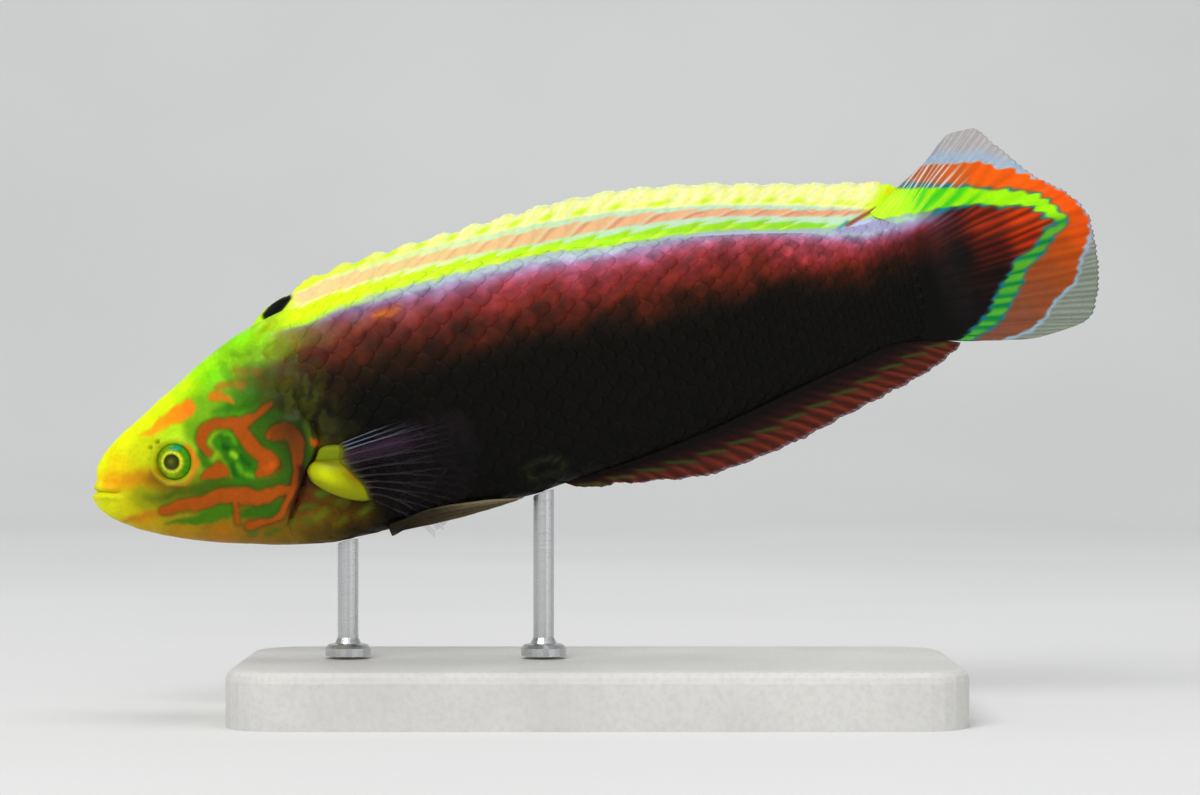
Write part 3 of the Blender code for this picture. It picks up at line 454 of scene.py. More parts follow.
# In the order of painting, green before orange.
HEAD_MARKS = (
    (((1.8, 0.6, 1.1), (3.8, 0.2, 1.7), (5.7, 0, 2), (7, -0.2, 1.7)), (0.97, 0.68, 0.02), 1.2,
     0.85, (0.66, 0.42, 0)),
    (((6.4, -5.3), (8, -5.2), (10.5, -5), (12.7, -4.8), (13.7, -4.8), (14.1, -5.3), (13.9, -6),
     (13.1, -6.4), (10.8, -6.3), (8.7, -5.8)), (0.26, 0.46, 0), 0.55, 1),
    (((14.8, -5.8), (16.3, -6.1), (17.6, -5.9), (18.7, -5.7), (19.4, -5.9), (19.3, -6.4),
     (18.5, -7.1), (17.2, -7.3), (15.3, -7), (14.5, -6.5)), (0.2, 0.4, 0), 0.5, 1),
    (((7.5, -2.4, 0.3), (10.1, -2.5, 0.9), (13.2, -2.8, 1.3), (16.3, -3.6, 1.2),
     (18.4, -4, 1.2), (19.8, -3.8, 1.3), (20.7, -2.9, 1.25), (21, -1.6, 1.2), (20.3, -0.6, 1.1),
     (19, 0, 1.1), (18.5, 0.9, 1), (18.5, 1.9, 1.1), (19.4, 2.6, 1.1), (20.5, 2.7, 1),
     (21.8, 2.2, 0.9), (23, 1.3, 0.9), (23.6, -0.1, 1), (23.2, -1.8, 1), (22.6, -3.2, 0.7)),
     (0.2, 0.4, 0), 0.6, 0.9),
    (((12.4, 1.7, 0.7), (12.2, 0.5, 1.1), (12.6, -0.5, 1), (13.6, -0.6, 0.9)), (0.17, 0.42, 0),
     0.8, 0.85),
    # Painted shade under the eye: a soft, dark olive band below it.
    (((5.8, -2.2, 0.5), (8.2, -2.4, 1.2), (10.5, -2.6, 1.6), (12.6, -2.5, 1.2)),
     (0.28, 0.34, 0), 1.8, 0.75),
    (((6.4, -0.2, 1.1), (7.2, -0.9, 1.4), (8.3, -1.6, 1.1), (9.6, -2, 0.7)), (0.5, 0.35, 0),
     1.4, 0.7),
    (((16.2, 4.6, 0.9), (18.2, 4.6, 0.9), (19.4, 5.2, 0.9)), (0.15, 0.38, 0), 1, 0.6),
    (((14.6, 5, 0.8), (16.2, 4.8, 0.8)), (0.17, 0.42, 0), 0.8, 0.5),
    (((13.7, 1.9), (14.9, 2.5), (15.9, 1.9), (16.7, 0.5), (17.3, -1.1), (17.6, -2.3),
     (17.1, -3.1), (16, -3.3), (15.1, -3.1), (14.7, -2.1), (14.3, -0.3), (13.7, 0.9)),
     (0.17, 0.44, 0), 0.6, 1),
    *((places, tone, 0.6, 0.8) for places, tone in CHEEK_SPOTS),
    (((2.1, -3.9, 0.5), (4.9, -3.9, 0.9), (7.3, -4, 1.1)), (0.75, 0.46, 0), 0.8, 0.75),
    *cheek_marks((0.2, 0.16, 0), 0.36, 0.6, 0.5),  # the dark rim
    *cheek_marks((0.68, 0.3, 0), 0, 0.35, 0.96),
    (((18.3, -2.4, 0.6), (19.2, -2.1, 0.6)), (0.86, 0.35, 0), 0.5, 0.6),
    (((23.9, -0.9, 0.85), (24.2, -1, 0.85)), (0.75, 0.33, 0), 0.3, 0.9),
    (((6.5, 4.3, 0.4), (7.9, 4.6, 0.8), (9.5, 5.2, 1.25), (10.9, 5.7, 1.85), (12, 5.8, 1.9)),
     (1, 0.72, 0), 0.5, 0.95, (1, 0.5, 0)),
    (((14.9, 6.6, 0.99), (15.6, 6.2, 0.85), (16.3, 5.7, 0.71), (16.8, 5.2, 0.5)),
     (0.85, 0.46, 0), 0.4, 0.9),
    (((15.6, 7.1, 0.85), (16.5, 7.3, 0.78), (17.4, 7, 0.8), (18.2, 6.7, 0.6)),
     (0.7, 0.42, 0.02), 0.6, 0.75),
    (((17.7, 8.5, 0.6), (18.7, 8.1, 0.7), (20.2, 7.9, 0.7)), (0.6, 0.38, 0.02), 0.8, 0.6),
    (((18, 7.5, 0.6), (18.7, 7, 0.6)), (0.55, 0.36, 0.02), 0.6, 0.5),
    (
        [(9.05 + 2.25 * math.cos(a), 0.89 + 2.25 * math.sin(a), 0.4)
         for a in np.linspace(0.6, 5.6, 20)],
        (0.74, 0.78, 0.12), 0.4, 0.5,
    ),
    (((10.7, 2, 0.35), (11.2, 1.3, 0.7), (11.35, 0.3, 0.8), (11, -0.6, 0.6), (10.1, -1.4, 0.45),
     (9.1, -1.7, 0.4), (7.8, -1.2, 0.3)), (0.97, 0.47, 0.02), 0.4, 0.9, (0.75, 0.62, 0.15)),
    # Painted shade along the gill opening, under the rear edge of the gill cover.
    (((22.1, -3.2, 0.6), (21.9, -4.4, 0.8), (21.2, -5.6, 0.9), (20.5, -6.7, 0.6),
     (19.5, -8, 0.5)), (0.2, 0.07, 0), 0.6, 0.8),
    *flecks(
        ((15.3, -8.5), (17.2, -9.1), (19.5, -8.6), (21.5, -7.4), (21.4, -9), (23.5, -6.6)),
        (-0.4, 0), (0.4, 0), (0.27, 0.42, 0.04), 0.7, 0.6,
    ),
)
LINE_LOW = (
    (20, 10.2), (23, 11.2), (27.9, 11.35), (30.2, 11.85), (36.8, 11.75), (43.3, 11.55),
    (49.8, 11.35), (58.3, 10.35), (69.1, 9.6), (79.4, 7.15), (82.9, 5.9), (86.5, 5), (94, 5),
)
BODY_TONES = (  # (millimetres under the pale line, tone)
    (-0.9, (0.64, 0.78, 0.68)), (-0.3, (0.62, 0.62, 0.74)), (0.4, (0.62, 0.5, 0.64)),
    (1, (0.65, 0.34, 0.45)), (1.9, (0.59, 0.22, 0.26)), (3.2, (0.49, 0.145, 0.14)),
    (4.8, (0.37, 0.11, 0.06)), (6.4, (0.2, 0.075, 0.02)), (8.2, (0.07, 0.035, 0.01)),
    (10, (0.025, 0.02, 0.008)), (30, (0.012, 0.01, 0.006)),
)
line_low_at = curve(LINE_LOW)


def blended(s, h, anchors):
    """Tones blended smoothly between anchor places."""
    total = np.zeros(s.shape)
    tones = np.zeros(s.shape + (3,))
    for anchor_s, anchor_h, tone in anchors:
        weight = ((s - anchor_s) ** 2 + (h - anchor_h) ** 2 + 0.15) ** -1.6
        total += weight
        tones += weight[..., None] * np.array(tone)
    return tones / total[..., None]


def body_tones(s, h):
    """The trunk's tones by their depth under the pale line along the back."""
    depth = line_low_at(s) - h
    keys, values = zip(*BODY_TONES)
    deeper = depth * (1 + 0.22 * rise(s, 68, 8) + 0.4 * rise(s, 81, 7))
    deeper += 1.1 * waves(s, h, 43, 6.5) * ease(depth / 3)
    shown = np.stack([np.interp(deeper, keys, channel) for channel in zip(*values)], axis=-1)
    mottle = 0.16 * waves(s, h, 40, 3.2) + 0.12 * waves(s, h, 41, 1.5) * ease(depth)
    front = between(0.9 - 0.22 * ease(depth / 2), 0.97, rise(s, 26, 26))
    front *= 1 - 0.4 * rise(s, 83, 7) * ease(depth / 2)
    olive = fall(s, 31, 6) * ease(0.4 - depth)
    shown = between(shown, (0.62, 0.74, 0.05), olive[..., None])
    brown = fall(s, 44, 16) * rise(depth, 0.6, 2)
    shown = shown * between(1, (1.04, 1.2, 0.62), brown[..., None])
    return np.clip(shown * (front * (1 + mottle))[..., None], 0, 1)


def paint_body(s, h):
    """The colours of the head and trunk at places on the fish."""
    patchy = waves(s, h, 51, 2.6)
    behind = s - neck_at(-h) - 1.2 + 0.9 * patchy
    behind = ease(behind / between(4.5, 7, fall(h, -1, 4)))
    coat = Paint(s, h, (0, 0, 0))
    coat.tones = between(blended(s, h, HEAD_TONES), body_tones(s, h), behind[..., None])
    lay_bands(coat, 0.35)
    coat.mark_all(TRUNK_MARKS + HEAD_MARKS)
    tint_head(coat)
    return coat.finished()


def tint_head(coat):
    """The soft tints of the nape, neck, cheek and throat."""
    s, h = coat.s, coat.h
    glints = np.clip(waves(s, h, 77, 1.3) * 2 - 0.6, 0, 1)
    nape = rise(h, 8.4, 1.5) * rise(s, 15, 2) * fall(s, 25, 2)
    coat.lay((0.6, 0.95, 0.3), 0.45 * glints * nape)
    shadows = ease(waves(s, h, 79, 2.6, 2) * 1.3 + 0.1)
    nape = rise(h, 5.5, 2) * rise(s, 13, 5) * fall(s, 27, 3)
    nape *= fall(h, 11.2, 1.5)
    coat.lay((0.24, 0.46, 0), 0.36 * shadows * nape)
    shade = rise(s, 17, 5) * rise(h, -2, 4) * fall(s, 28, 4)
    coat.tones *= 1 - 0.3 * (shade * fall(h, 9, 2))[..., None]
    flecked = ease(waves(s, h, 81, 1.9, 2) * 1.6 + 0.4)
    neck = rise(s, 20, 3) * fall(s, 29.4, 4.5) * rise(h, -3, 3)
    coat.lay((0.34, 0.37, 0.03), 0.38 * flecked * neck * fall(h, 8.5, 2))
    shoulder = rise(h, 8, 1.2) * fall(h, 11.4, 0.7)
    brown = rise(s, 24.3, 1.7) * fall(s, 31, 4)
    coat.lay((0.42, 0.32, 0.12), 0.45 * brown * shoulder)
    olive = rise(s, 22.4, 1.2) * fall(s, 28.7, 5)
    coat.lay((0.47, 0.54, 0.03), 0.75 * olive * shoulder * rise(h, 8.6, 1.2))
    rear = rise(s, 19, 3) * fall(s, 23.8, 0.8)
    rear *= fall(h, 3, 1.5) * rise(h, -5.8, 1)
    coat.tones *= 1 - 0.28 * rear[..., None]
    under = rise(s, 20.3, 1.5) * fall(s, 26.2, 2.5) * fall(h, -8.1, 1.3)
    coat.lay((0.42, 0.31, 0.02), 0.6 * under)


def head_relief(s, h, eye):
    """How far the skin stands out of the plain body at places on the head, in millimetres."""
    mouth = h - mouth_at(s)
    lips = hump(np.abs(mouth), 0.5, 0.33) - hump(mouth, 0, 0.13)
    raised = 0.34 * fall(s, 3.1, 1.2) * lips
    raised -= 0.18 * hump(np.hypot(s - MOUTH_LINE[-1][0], h - MOUTH_LINE[-1][1]), 0, 0.4)
    raised += 0.26 * hump(eye, 2.3, 0.32) - 0.85 * fall(eye, 1.92, 0.22)
    for nostril_s, nostril_h, radius in NOSTRILS:
        away = np.hypot(s - nostril_s, h - nostril_h) - radius
        raised += 0.14 * hump(away, 0.16, 0.14) - 0.5 * edge(away, 0.18)
    for line, depth, width in ((JAW_LINE, 0.12, 0.3), (CHEEK_EDGE, 0.1, 0.22)):
        gap, _ = reach_of_line(s, h, [(*place, 0) for place in line])
        raised -= depth * hump(gap, 0, width)
    behind = s - neck_at(-h)
    flap = ease((5.2 - np.abs(h + 3.2)) / 1.5 + 0.6)
    step = fall(behind, 0, 0.12) * rise(behind, -6, 5) - hump(behind, 0.22, 0.22)
    return raised + 0.3 * flap * step + 0.05 * waves(s, h, 11, 4.0) * rise(s, 2, 3)


# Making meshes


def set_values(attribute, key, values):
    attribute.data.foreach_set(key, np.ascontiguousarray(values, np.float32).ravel())


def start_piece(name):
    """The object that an operator has just added, named and with nothing else selected."""
    piece = bpy.context.object
    piece.name = piece.data.name = name
    return piece


def deselect():
    if bpy.context.object and bpy.context.object.mode != "OBJECT":
        bpy.ops.object.mode_set(mode="OBJECT")
    bpy.ops.object.select_all(action="DESELECT")


def select_only(piece):
    deselect()
    piece.select_set(True)
    bpy.context.view_layer.objects.active = piece


def sheet_piece(name, grid, tones=None, solid=None):
    """A grid primitive with its points moved to a grid of scene points, and its colours set."""
    deselect()
    along, across = grid.shape[:2]
    bpy.ops.mesh.primitive_grid_add(x_subdivisions=along - 1, y_subdivisions=across - 1, size=1)
    piece = start_piece(name)
    flat = grid.transpose(1, 0, 2).reshape(-1, 3)
    piece.data.vertices.foreach_set("co", np.ascontiguousarray(flat, np.float32).ravel())
    if tones is not None:
        add_tones(piece, tones.transpose(1, 0, 2).reshape(-1, 3))
    if solid is not None:
        layer = piece.data.attributes.new("solidness", "FLOAT", "POINT")
        set_values(layer, "value", solid.T)
    piece.data.update()
    return piece


def add_tones(piece, tones):
    layer = piece.data.color_attributes.new("paint", "FLOAT_COLOR", "POINT")
    set_values(layer, "color", np.column_stack([tones, np.ones(len(tones))]))


MERGE_DISTANCE = 2e-6


def close_up(piece):
    """Joins the seams of a wrapped grid, turns its faces outward and shades it smooth."""
    select_only(piece)
    bpy.ops.object.mode_set(mode="EDIT")
    bpy.ops.mesh.select_all(action="SELECT")
    bpy.ops.mesh.remove_doubles(threshold=MERGE_DISTANCE)
    bpy.ops.mesh.normals_make_consistent(inside=False)
    bpy.ops.object.mode_set(mode="OBJECT")
    bpy.ops.object.shade_smooth()
    return piece


def set_material(piece, material):
    piece.data.materials.clear()
    piece.data.materials.append(material)


def dress(piece, material, slot, *nodes):
    """Gives a finished piece its material, its body and the CAD nodes it stands for; slot is not
    used.
    """
    set_material(piece, material)
    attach(piece, "root")
    if nodes:
        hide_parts(*nodes)


# Materials


class Shader:
    """A material's node tree, with short ways to add and join its nodes."""

    def __init__(self, name, material=True):
        if material:
            self.owner = bpy.data.materials.new(name)
            self.owner.use_nodes = True
            self.tree = self.owner.node_tree
            self.principled = self.tree.nodes["Principled BSDF"]
        else:
            self.owner = self.tree = bpy.data.node_groups.new(name, "ShaderNodeTree")

    def node(self, kind, inputs=None, **settings):
        made = self.tree.nodes.new(kind)
        for key, value in settings.items():
            setattr(made, key, value)
        for key, value in (inputs or {}).items():
            self.put(made.inputs[key], value)
        return made

    def put(self, socket, value):
        if isinstance(value, bpy.types.NodeSocket):
            self.tree.links.new(value, socket)
        else:
            socket.default_value = value

    def set(self, **values):
        for key, value in values.items():
            self.put(self.principled.inputs[key.replace("_", " ")], value)

    def math(self, operation, *values):
        made = self.node("ShaderNodeMath", operation=operation)
        for socket, value in zip(made.inputs, values):
            self.put(socket, value)
        return made.outputs[0]

    def mix(self, factor, first, second):
        made = self.node("ShaderNodeMix", data_type="RGBA")
        self.put(made.inputs["Factor"], factor)
        self.put(made.inputs[6], first)
        self.put(made.inputs[7], second)
        return made.outputs[2]

    def span(self, value, low, high, start=0, end=1):
        made = self.node("ShaderNodeMapRange", interpolation_type="SMOOTHSTEP")
        for socket, number in zip(made.inputs, (value, low, high, start, end)):
            self.put(socket, number)
        return made.outputs[0]

    def noise(self, scale, detail=3, roughness=0.55, stretch=(1, 1, 1)):
        """Noise over Object coordinates, in features per metre."""
        place = self.node("ShaderNodeTexCoord").outputs["Object"]
        mapping = self.node("ShaderNodeMapping", {"Vector": place, "Scale": stretch})
        made = self.node(
            "ShaderNodeTexNoise",
            {"Vector": mapping.outputs[0], "Scale": scale, "Detail": detail,
             "Roughness": roughness},
        )
        return made.outputs[0]

    def bump(self, height, strength, distance):
        made = self.node(
            "ShaderNodeBump", {"Height": height, "Strength": strength, "Distance": distance}
        )
        return made.outputs[0]

    def attribute(self, name, output="Color"):
        made = self.node("ShaderNodeAttribute", attribute_name=name)
        return made.outputs[output]

    def surface(self, tone, patches, rough, grain, bump, **more):
        """Sets the tone, roughness that changes by patches, fine grain and anything more."""
        self.set(
            Base_Color=tone, Roughness=self.span(patches, 0.3, 0.7, *rough),
            Normal=self.bump(grain, *bump), **more,
        )
        return self.owner


def fine_skin_group():
    """Fine pores and speckle that the painted finishes share."""
    made = Shader("Fine skin", material=False)
    sockets = made.tree.interface
    sockets.new_socket("Tone", in_out="INPUT", socket_type="NodeSocketColor")
    for name, value in (("Speckle", 0.15), ("Grain", 2200.0)):
        socket = sockets.new_socket(name, in_out="INPUT", socket_type="NodeSocketFloat")
        socket.default_value = value
    sockets.new_socket("Tone", in_out="OUTPUT", socket_type="NodeSocketColor")
    sockets.new_socket("Height", in_out="OUTPUT", socket_type="NodeSocketFloat")
    entry, leave = made.node("NodeGroupInput"), made.node("NodeGroupOutput")
    grain = made.noise(entry.outputs["Grain"], 4, 0.6)
    patches = made.noise(made.math("MULTIPLY", entry.outputs["Grain"], 0.35), 2, 0.5)
    both = made.math("ADD", made.math("MULTIPLY", grain, 0.6), made.math("MULTIPLY", patches, 0.4))
    shift = made.math("MULTIPLY", made.math("SUBTRACT", both, 0.5), entry.outputs["Speckle"])
    light = made.math("ADD", 1.0, made.math("MULTIPLY", shift, 4.0))
    toned = made.node("ShaderNodeVectorMath", operation="SCALE")
    made.put(toned.inputs[0], entry.outputs["Tone"])
    made.put(toned.inputs["Scale"], light)
    made.put(leave.inputs["Tone"], toned.outputs[0])
    made.put(leave.inputs["Height"], grain)
    return made.owner


FINISHES = {}


def finish(name, build, *values):
    """What build makes, under its name, made the first time that it is asked for."""
    if name not in FINISHES:
        FINISHES[name] = build(*values)
    return FINISHES[name]


PAINTED = {  # speckle, grain, roughness patches and range, bump strength and depth, gloss
    "Painted skin": (0.16, 2400, 700, (0.4, 0.56), (0.25, 0.00008), {"IOR": 1.22}),
    "Fin membrane": (0.1, 2600, 900, (0.38, 0.52), (0.2, 0.00005), {"IOR": 1.2}),
    "Scale": (0.22, 1500, 900, (0.42, 0.58), (0.25, 0.00006), {"IOR": 1.18}),
    "Iris": (0.2, 5000, 3000, (0.3, 0.45), (0.2, 0.00003), {"Specular_IOR_Level": 0.1}),
}


def build_painted(name):
    """A glossy finish over a piece's painted tones, with the shared fine grain."""
    speckle, grain, patches, rough, bump, gloss = PAINTED[name]
    made = Shader(name)
    fine = made.node("ShaderNodeGroup")
    fine.node_tree = finish("fine", fine_skin_group)
    for key, value in (("Tone", made.attribute("paint")), ("Speckle", speckle), ("Grain", grain)):
        made.put(fine.inputs[key], value)
    if name == "Fin membrane":
        made.set(Alpha=made.attribute("solidness", "Fac"))
    patches, height = made.noise(patches), fine.outputs["Height"]
    return made.surface(fine.outputs["Tone"], patches, rough, height, bump, **gloss)


def painted(name):
    return finish(name, build_painted, name)


# The pieces

FINE_RINGS_END, FINE_RINGS, TRUNK_RINGS = 27, 196, 76
CLOSING_RINGS = (91.2, 91.9)
SKIN_COLUMNS = 337
RELIEF_END = 26.5
SNOUT_REACH, FRONT_REACH = 0.34, 0.12  # how far the lips, and then their middle, stand forward


def skin_grid():
    """Points of the plain body, and of the skin with its relief, ring by ring from the snout."""
    fine = np.linspace(SNOUT, FINE_RINGS_END, FINE_RINGS)
    trunk = np.linspace(FINE_RINGS_END, BODY_END, TRUNK_RINGS)[1:]
    rings = np.concatenate([fine, trunk, CLOSING_RINGS])
    stations, turns = np.meshgrid(rings, np.linspace(0, math.tau, SKIN_COLUMNS), indexing="ij")
    plain = body_point(stations, turns)
    beyond = 1 - np.clip((stations - BODY_END) / 2, 0, 1)
    plain[..., 1] *= beyond
    plain[..., 2] = between(level_at(stations), plain[..., 2], beyond**0.3)
    normals = surface_normals(plain)
    normals[:, 0] = normals[:, -1] = (0, 0, 1)
    eye = np.hypot(plain[..., 0] - EYE_S, plain[..., 2] - EYE_H)
    relief = head_relief(*seen(plain), eye) * fall(stations, RELIEF_END, 1.5)
    rim = np.where(stations < 1.4, 1, ease(np.abs(plain[..., 1]) / 0.4))
    points = plain + normals * (relief * rim)[..., None]
    points[..., 0] += SNOUT_REACH * fall(stations, 1.5, 1.7)
    return plain, points


def make_skin():
    """The skin of the head and trunk, closed at the snout and inside the tail's root."""
    plain, points = skin_grid()
    tones = paint_body(*seen(plain))
    front = points[0].mean(axis=0) - (FRONT_REACH, 0, 0)
    rear = points[-1].mean(axis=0)
    ends = (np.tile(end, (1, SKIN_COLUMNS, 1)) for end in (front, rear))
    points = np.concatenate([next(ends), points, next(ends)])
    tones = np.concatenate([tones[:1], tones, tones[-1:]])
    return close_up(sheet_piece("skin", placed(points), tones))


# The fins


def branching(share, t, rays, width=0.07, starts=(0.35, 0.62)):
    """Height of the rays from 0 to 1 where each parts in two, and again, towards its tip."""
    phase = share * (rays - 1)
    away = phase - np.round(phase)
    first = 0.25 * ease((t - starts[0]) / 0.4)
    second = 0.125 * ease((t - starts[1]) / 0.3)
    height = np.zeros(np.broadcast(share, t).shape)
    for a in (-1, 1):
        for b in (-1, 1):
            gap = away - a * first - b * second
            height = np.maximum(height, hump(gap, 0, width))
    return height


def closed_fin(name, middle, half, tones, solid):
    """A thin closed piece on both sides of a grid of fish points, in millimetres."""
    half = half.copy()
    half[0] = half[-1] = 0
    half[:, -1] = 0
    out = surface_normals(middle) * half[..., None]

    def wrap(a, b):
        return np.concatenate([a, b[:, -2::-1], a[:, :1]], axis=1)

    points = placed(wrap(middle + out, middle - out))
    return close_up(sheet_piece(name, points, wrap(tones, tones), wrap(solid, solid)))


def fin_grid(size, start=0):
    """Shares across a fin's root, and from start, 0 at the rays' roots, out to 1 at the tips."""
    return np.meshgrid(np.linspace(0, 1, size[0]), np.linspace(start, 1, size[1]), indexing="ij")


def curves(rows):
    """A smooth function of the first column for each of the others."""
    rows = np.array(rows, float)
    return [curve(rows[:, (0, k)]) for k in range(1, rows.shape[1])]


DORSAL_START, DORSAL_END, DORSAL_SPINES, DORSAL_RAYS = 20.1, 87.2, 9, 21
DORSAL_MARGIN = (
    (20, 12.9), (22.2, 14.2), (25, 14.9), (27, 15.9), (33.8, 16.7), (42, 16.95), (52, 17.15),
    (60, 16.85), (68.5, 15.5), (76.7, 13.4), (84.9, 11.3), (89, 10.3), (91, 8.95),
)
DORSAL_LEAN = ((20, 1.9), (30, 2.9), (45, 3.9), (60, 5.2), (72, 6.4), (81, 6.2), (87.2, 3.6))
ANAL_START, ANAL_END, ANAL_SPINES, ANAL_RAYS = 48, 89, 3, 15
ANAL_MARGIN = (
    (48, -12.4), (50, -13.1), (54, -13.75), (59, -14.65), (64, -15.3), (68, -15), (73.6, -14.2),
    (78.4, -13.1), (83, -12.1), (87.7, -11), (90.5, -10.1), (93, -8.75),
)
ANAL_LEAN = ((48, 1.6), (55, 4.2), (65, 6.6), (77, 6.8), (83, 6.2), (89, 4))
DORSAL_GRID, ANAL_GRID, TAIL_GRID, PECTORAL_GRID, PELVIC_GRID = (
    (301, 46), (251, 40), (401, 84), (181, 90), (91, 60)
)
BANDS = {
    "yellow_low": ((20, 14.3), (26.7, 14.9), (31.3, 15.6), (37.9, 15.7), (44.4, 15.6), (50.9, 15.3),
                   (59.5, 14.5), (69.9, 12.6), (80.1, 9.9), (83.7, 8.8), (87.7, 7.5)),
    "peach_top": ((20, 14.2), (25.5, 14.5), (26.7, 14.7), (31.2, 15.3), (37.8, 15.2), (44.3, 15),
                  (50.8, 14.7), (59.3, 14), (69.8, 12.2), (80, 9.5), (83.6, 8.5), (87.5, 7.5)),
    "peach_low": ((20, 14.2), (25.4, 14.1), (26.4, 13.6), (30.8, 13.9), (37.5, 14.2), (44, 14),
                  (50.4, 13.4), (59, 12.8), (69.6, 11.4), (79.9, 8.8), (83.4, 7.9), (87.4, 7.2)),
    "green_top": ((20, 12.9), (22.1, 13.1), (26.3, 13.3), (30.8, 13.7), (37.3, 13.7), (43.9, 13.5),
                  (50.3, 13.1), (58.8, 12.2), (69.4, 10.8), (79.7, 8.2), (83.2, 6.9)),
    "green_low": ((20, 11.3), (21.7, 11.7), (25.9, 11.7), (30.4, 12.2), (37, 12.5), (43.6, 12.3),
                  (50.1, 12.2), (58.6, 11.1), (69.2, 9.9), (79.5, 7.5), (83.1, 6.7)),
    "line_low": LINE_LOW,
}
band_at = {name: curve(knots) for name, knots in BANDS.items()}


# In the same form: the black spot, its pale edge, and two marks at the fin's rear.
DORSAL_MARKS = (
    (((22.6, 13.2, 0.8), (23.8, 13.8, 1.25), (25.3, 14.45, 0.7)), (0.01, 0.02, 0), 0.3, 1),
    (((20.1, 12.6, 0.25), (22.2, 14.1, 0.25), (25, 14.95, 0.25)), (0.95, 1, 0.02), 0.2, 0.9),
    (((84.4, 6.6, 0.4), (87.9, 7.6, 0.4)), (0.62, 0.25, 0.22), 0.3, 0.85),
    (((83.3, 6.4, 0.3), (84.6, 7, 0.3)), (0.2, 0.5, 0.75), 0.3, 0.7),
)


def ray_phase(s, h):
    """Which dorsal ray passes a place, counted from the first, also down on the back."""
    margin_at, lean_at = curve(DORSAL_MARGIN), curve(DORSAL_LEAN)
    root = s
    for _ in range(3):
        lean = 1.5 * lean_at(root)
        tall = np.maximum(margin_at(root + lean) - back_at(root), 1)
        root = s - lean * (np.clip((h - back_at(root)) / tall, -1, 1.1) - 0.5)
    return (root - DORSAL_START) / (DORSAL_END - DORSAL_START) * (DORSAL_RAYS - 1)


def lay_bands(coat, soft):
    """The bright bands along the back, each parted into slanting lozenges by the rays."""
    s, h = coat.s, coat.h
    phase = ray_phase(s, h)
    past = phase % 1 - 0.5
    stepped = rise(s, 27, 6)
    front = rise(s, 22, 4)
    along = np.clip((s - 24) / 58, 0, 1)[..., None]
    green = between((0.88, 1, 0.01), (0.58, 0.89, 0.2), along)
    peach = between((1, 0.88, 0.64), (0.95, 0.66, 0.5), along)
    outer = between((0.93, 1, 0.15), (1, 1, 0.72), ease(along * 3.2))
    pale = between((0.96, 0.98, 0.66), (0.78, 0.92, 0.77), ease(along * 1.4))
    blue = between((0.7, 0.92, 0.15), (0.65, 0.72, 0.75), ease(along * 4))
    for name, tone, slant in (
        ("line_low", blue, 0), ("green_low", green, 0.12), ("green_top", pale, 0.5),
        ("peach_low", peach, 0.16), ("peach_top", pale, 0.3), ("yellow_low", outer, 0.1),
    ):
        over = h - slant * past * stepped - band_at[name](s)
        coat.lay(tone, front * edge(-over, soft + 0.3 * slant))
        if name == "green_low":
            wedge = fall(past, -0.12, 0.2) * fall(over, 0.9, 0.5) * ease(over / 0.2)
            coat.lay((0.86, 1, 0.3), 0.75 * wedge * stepped)
        if name == "peach_low":
            parting = ease(1 - (0.5 - np.abs(past)) / 0.09) * edge(-over, 0.2)
            coat.lay(pale, 0.6 * parting * rise(s, 40, 16))
            ray_line = hump(past, -0.3, 0.09) * edge(-over, 0.2)
            coat.lay((0.82, 0.48, 0.4), 0.6 * ray_line * stepped * ease(along[..., 0] * 1.4))
        if name == "yellow_low":
            streaks = swell(2 * phase + 0.3 * waves(s, h, 63, 5))
            coat.lay((0.97, 1, 0.25), 0.35 * streaks * ease(over / 0.3) * stepped)
            spot = hump(past, 0.12, 0.2) * hump(over, 0.5, 0.32)
            coat.lay((0.8, 1, 0.02), 0.8 * spot * stepped)


def dorsal_tones(s, h, t, rays):
    coat = Paint(s, h, (0.68, 0.72, 0.8), 0.06)
    lay_bands(coat, 0.22)
    coat.lay((0.8, 1, 0.02), fall(s, 27, 3) * 0.85)
    coat.lay((0.74, 0.78, 0.92), rise(s, 84.3, 1.2) * fall(h, 7, 0.4))
    rear = rise(s + 1.1 * (9.4 - h), 87.6, 2.6) * rise(h, 6.6, 0.5) * rise(s, 84, 3)
    coat.lay((0.78, 1, 0.04), rear)
    coat.lay((1, 0.75, 0), 0.6 * hump(s, 89.8, 0.5) * hump(h, 8.9, 0.45))
    coat.mark_all(DORSAL_MARKS)
    coat.lay((0.9, 1, 0.82), 0.6 * rise(t, 0.93, 0.06) * fall(s, 88, 3))
    coat.tones *= 1 - 0.04 * (rays * rise(t, 0.05, 0.2))[..., None]
    return coat.finished()


def midline_grid(start, end, margin, lean, rays, spines, size, out, cut):
    """Middle surface of a fin on the back (out 1) or belly (out -1), its margin notched by cut."""
    margin_at, lean_at = curve(margin), curve(lean)
    share, t = fin_grid(size)
    s_root = between(start, end, share)
    s_tip = s_root + lean_at(s_root)
    phase = share * (rays - 1)
    past = phase % 1
    deep = cut * np.where(phase < spines - 0.5, 0.4, 0.26)
    notch = deep * (1 - ease(np.minimum(past / 0.72, (1 - past) / 0.28)))
    ragged = 0.1 * waves(s_tip, 0 * s_tip, 71, 0.9)
    root = (back_at if out > 0 else belly_at)(s_root) - out * 0.35
    tip = margin_at(s_tip) - out * (notch + ragged + 0.05)
    s, h = between(s_root, s_tip, t), between(root, tip, t)
    y = 0.22 * np.sin(math.tau * s / 21 + 0.6) * t + 0.05 * np.sin(math.tau * phase) * t
    return share, t, np.stack([s, y, h], axis=-1)


def fin_half(t, rays, membrane=0.09, crest=0.16, root=0.55):
    """Half the thickness of a fin, with its rays standing out of the membrane."""
    shape = between(membrane, crest * (1 - 0.55 * t), rays)
    shape = between(root, shape, ease(t / 0.16))
    return shape * between(1, 0.5, rise(t, 0.8, 0.2))


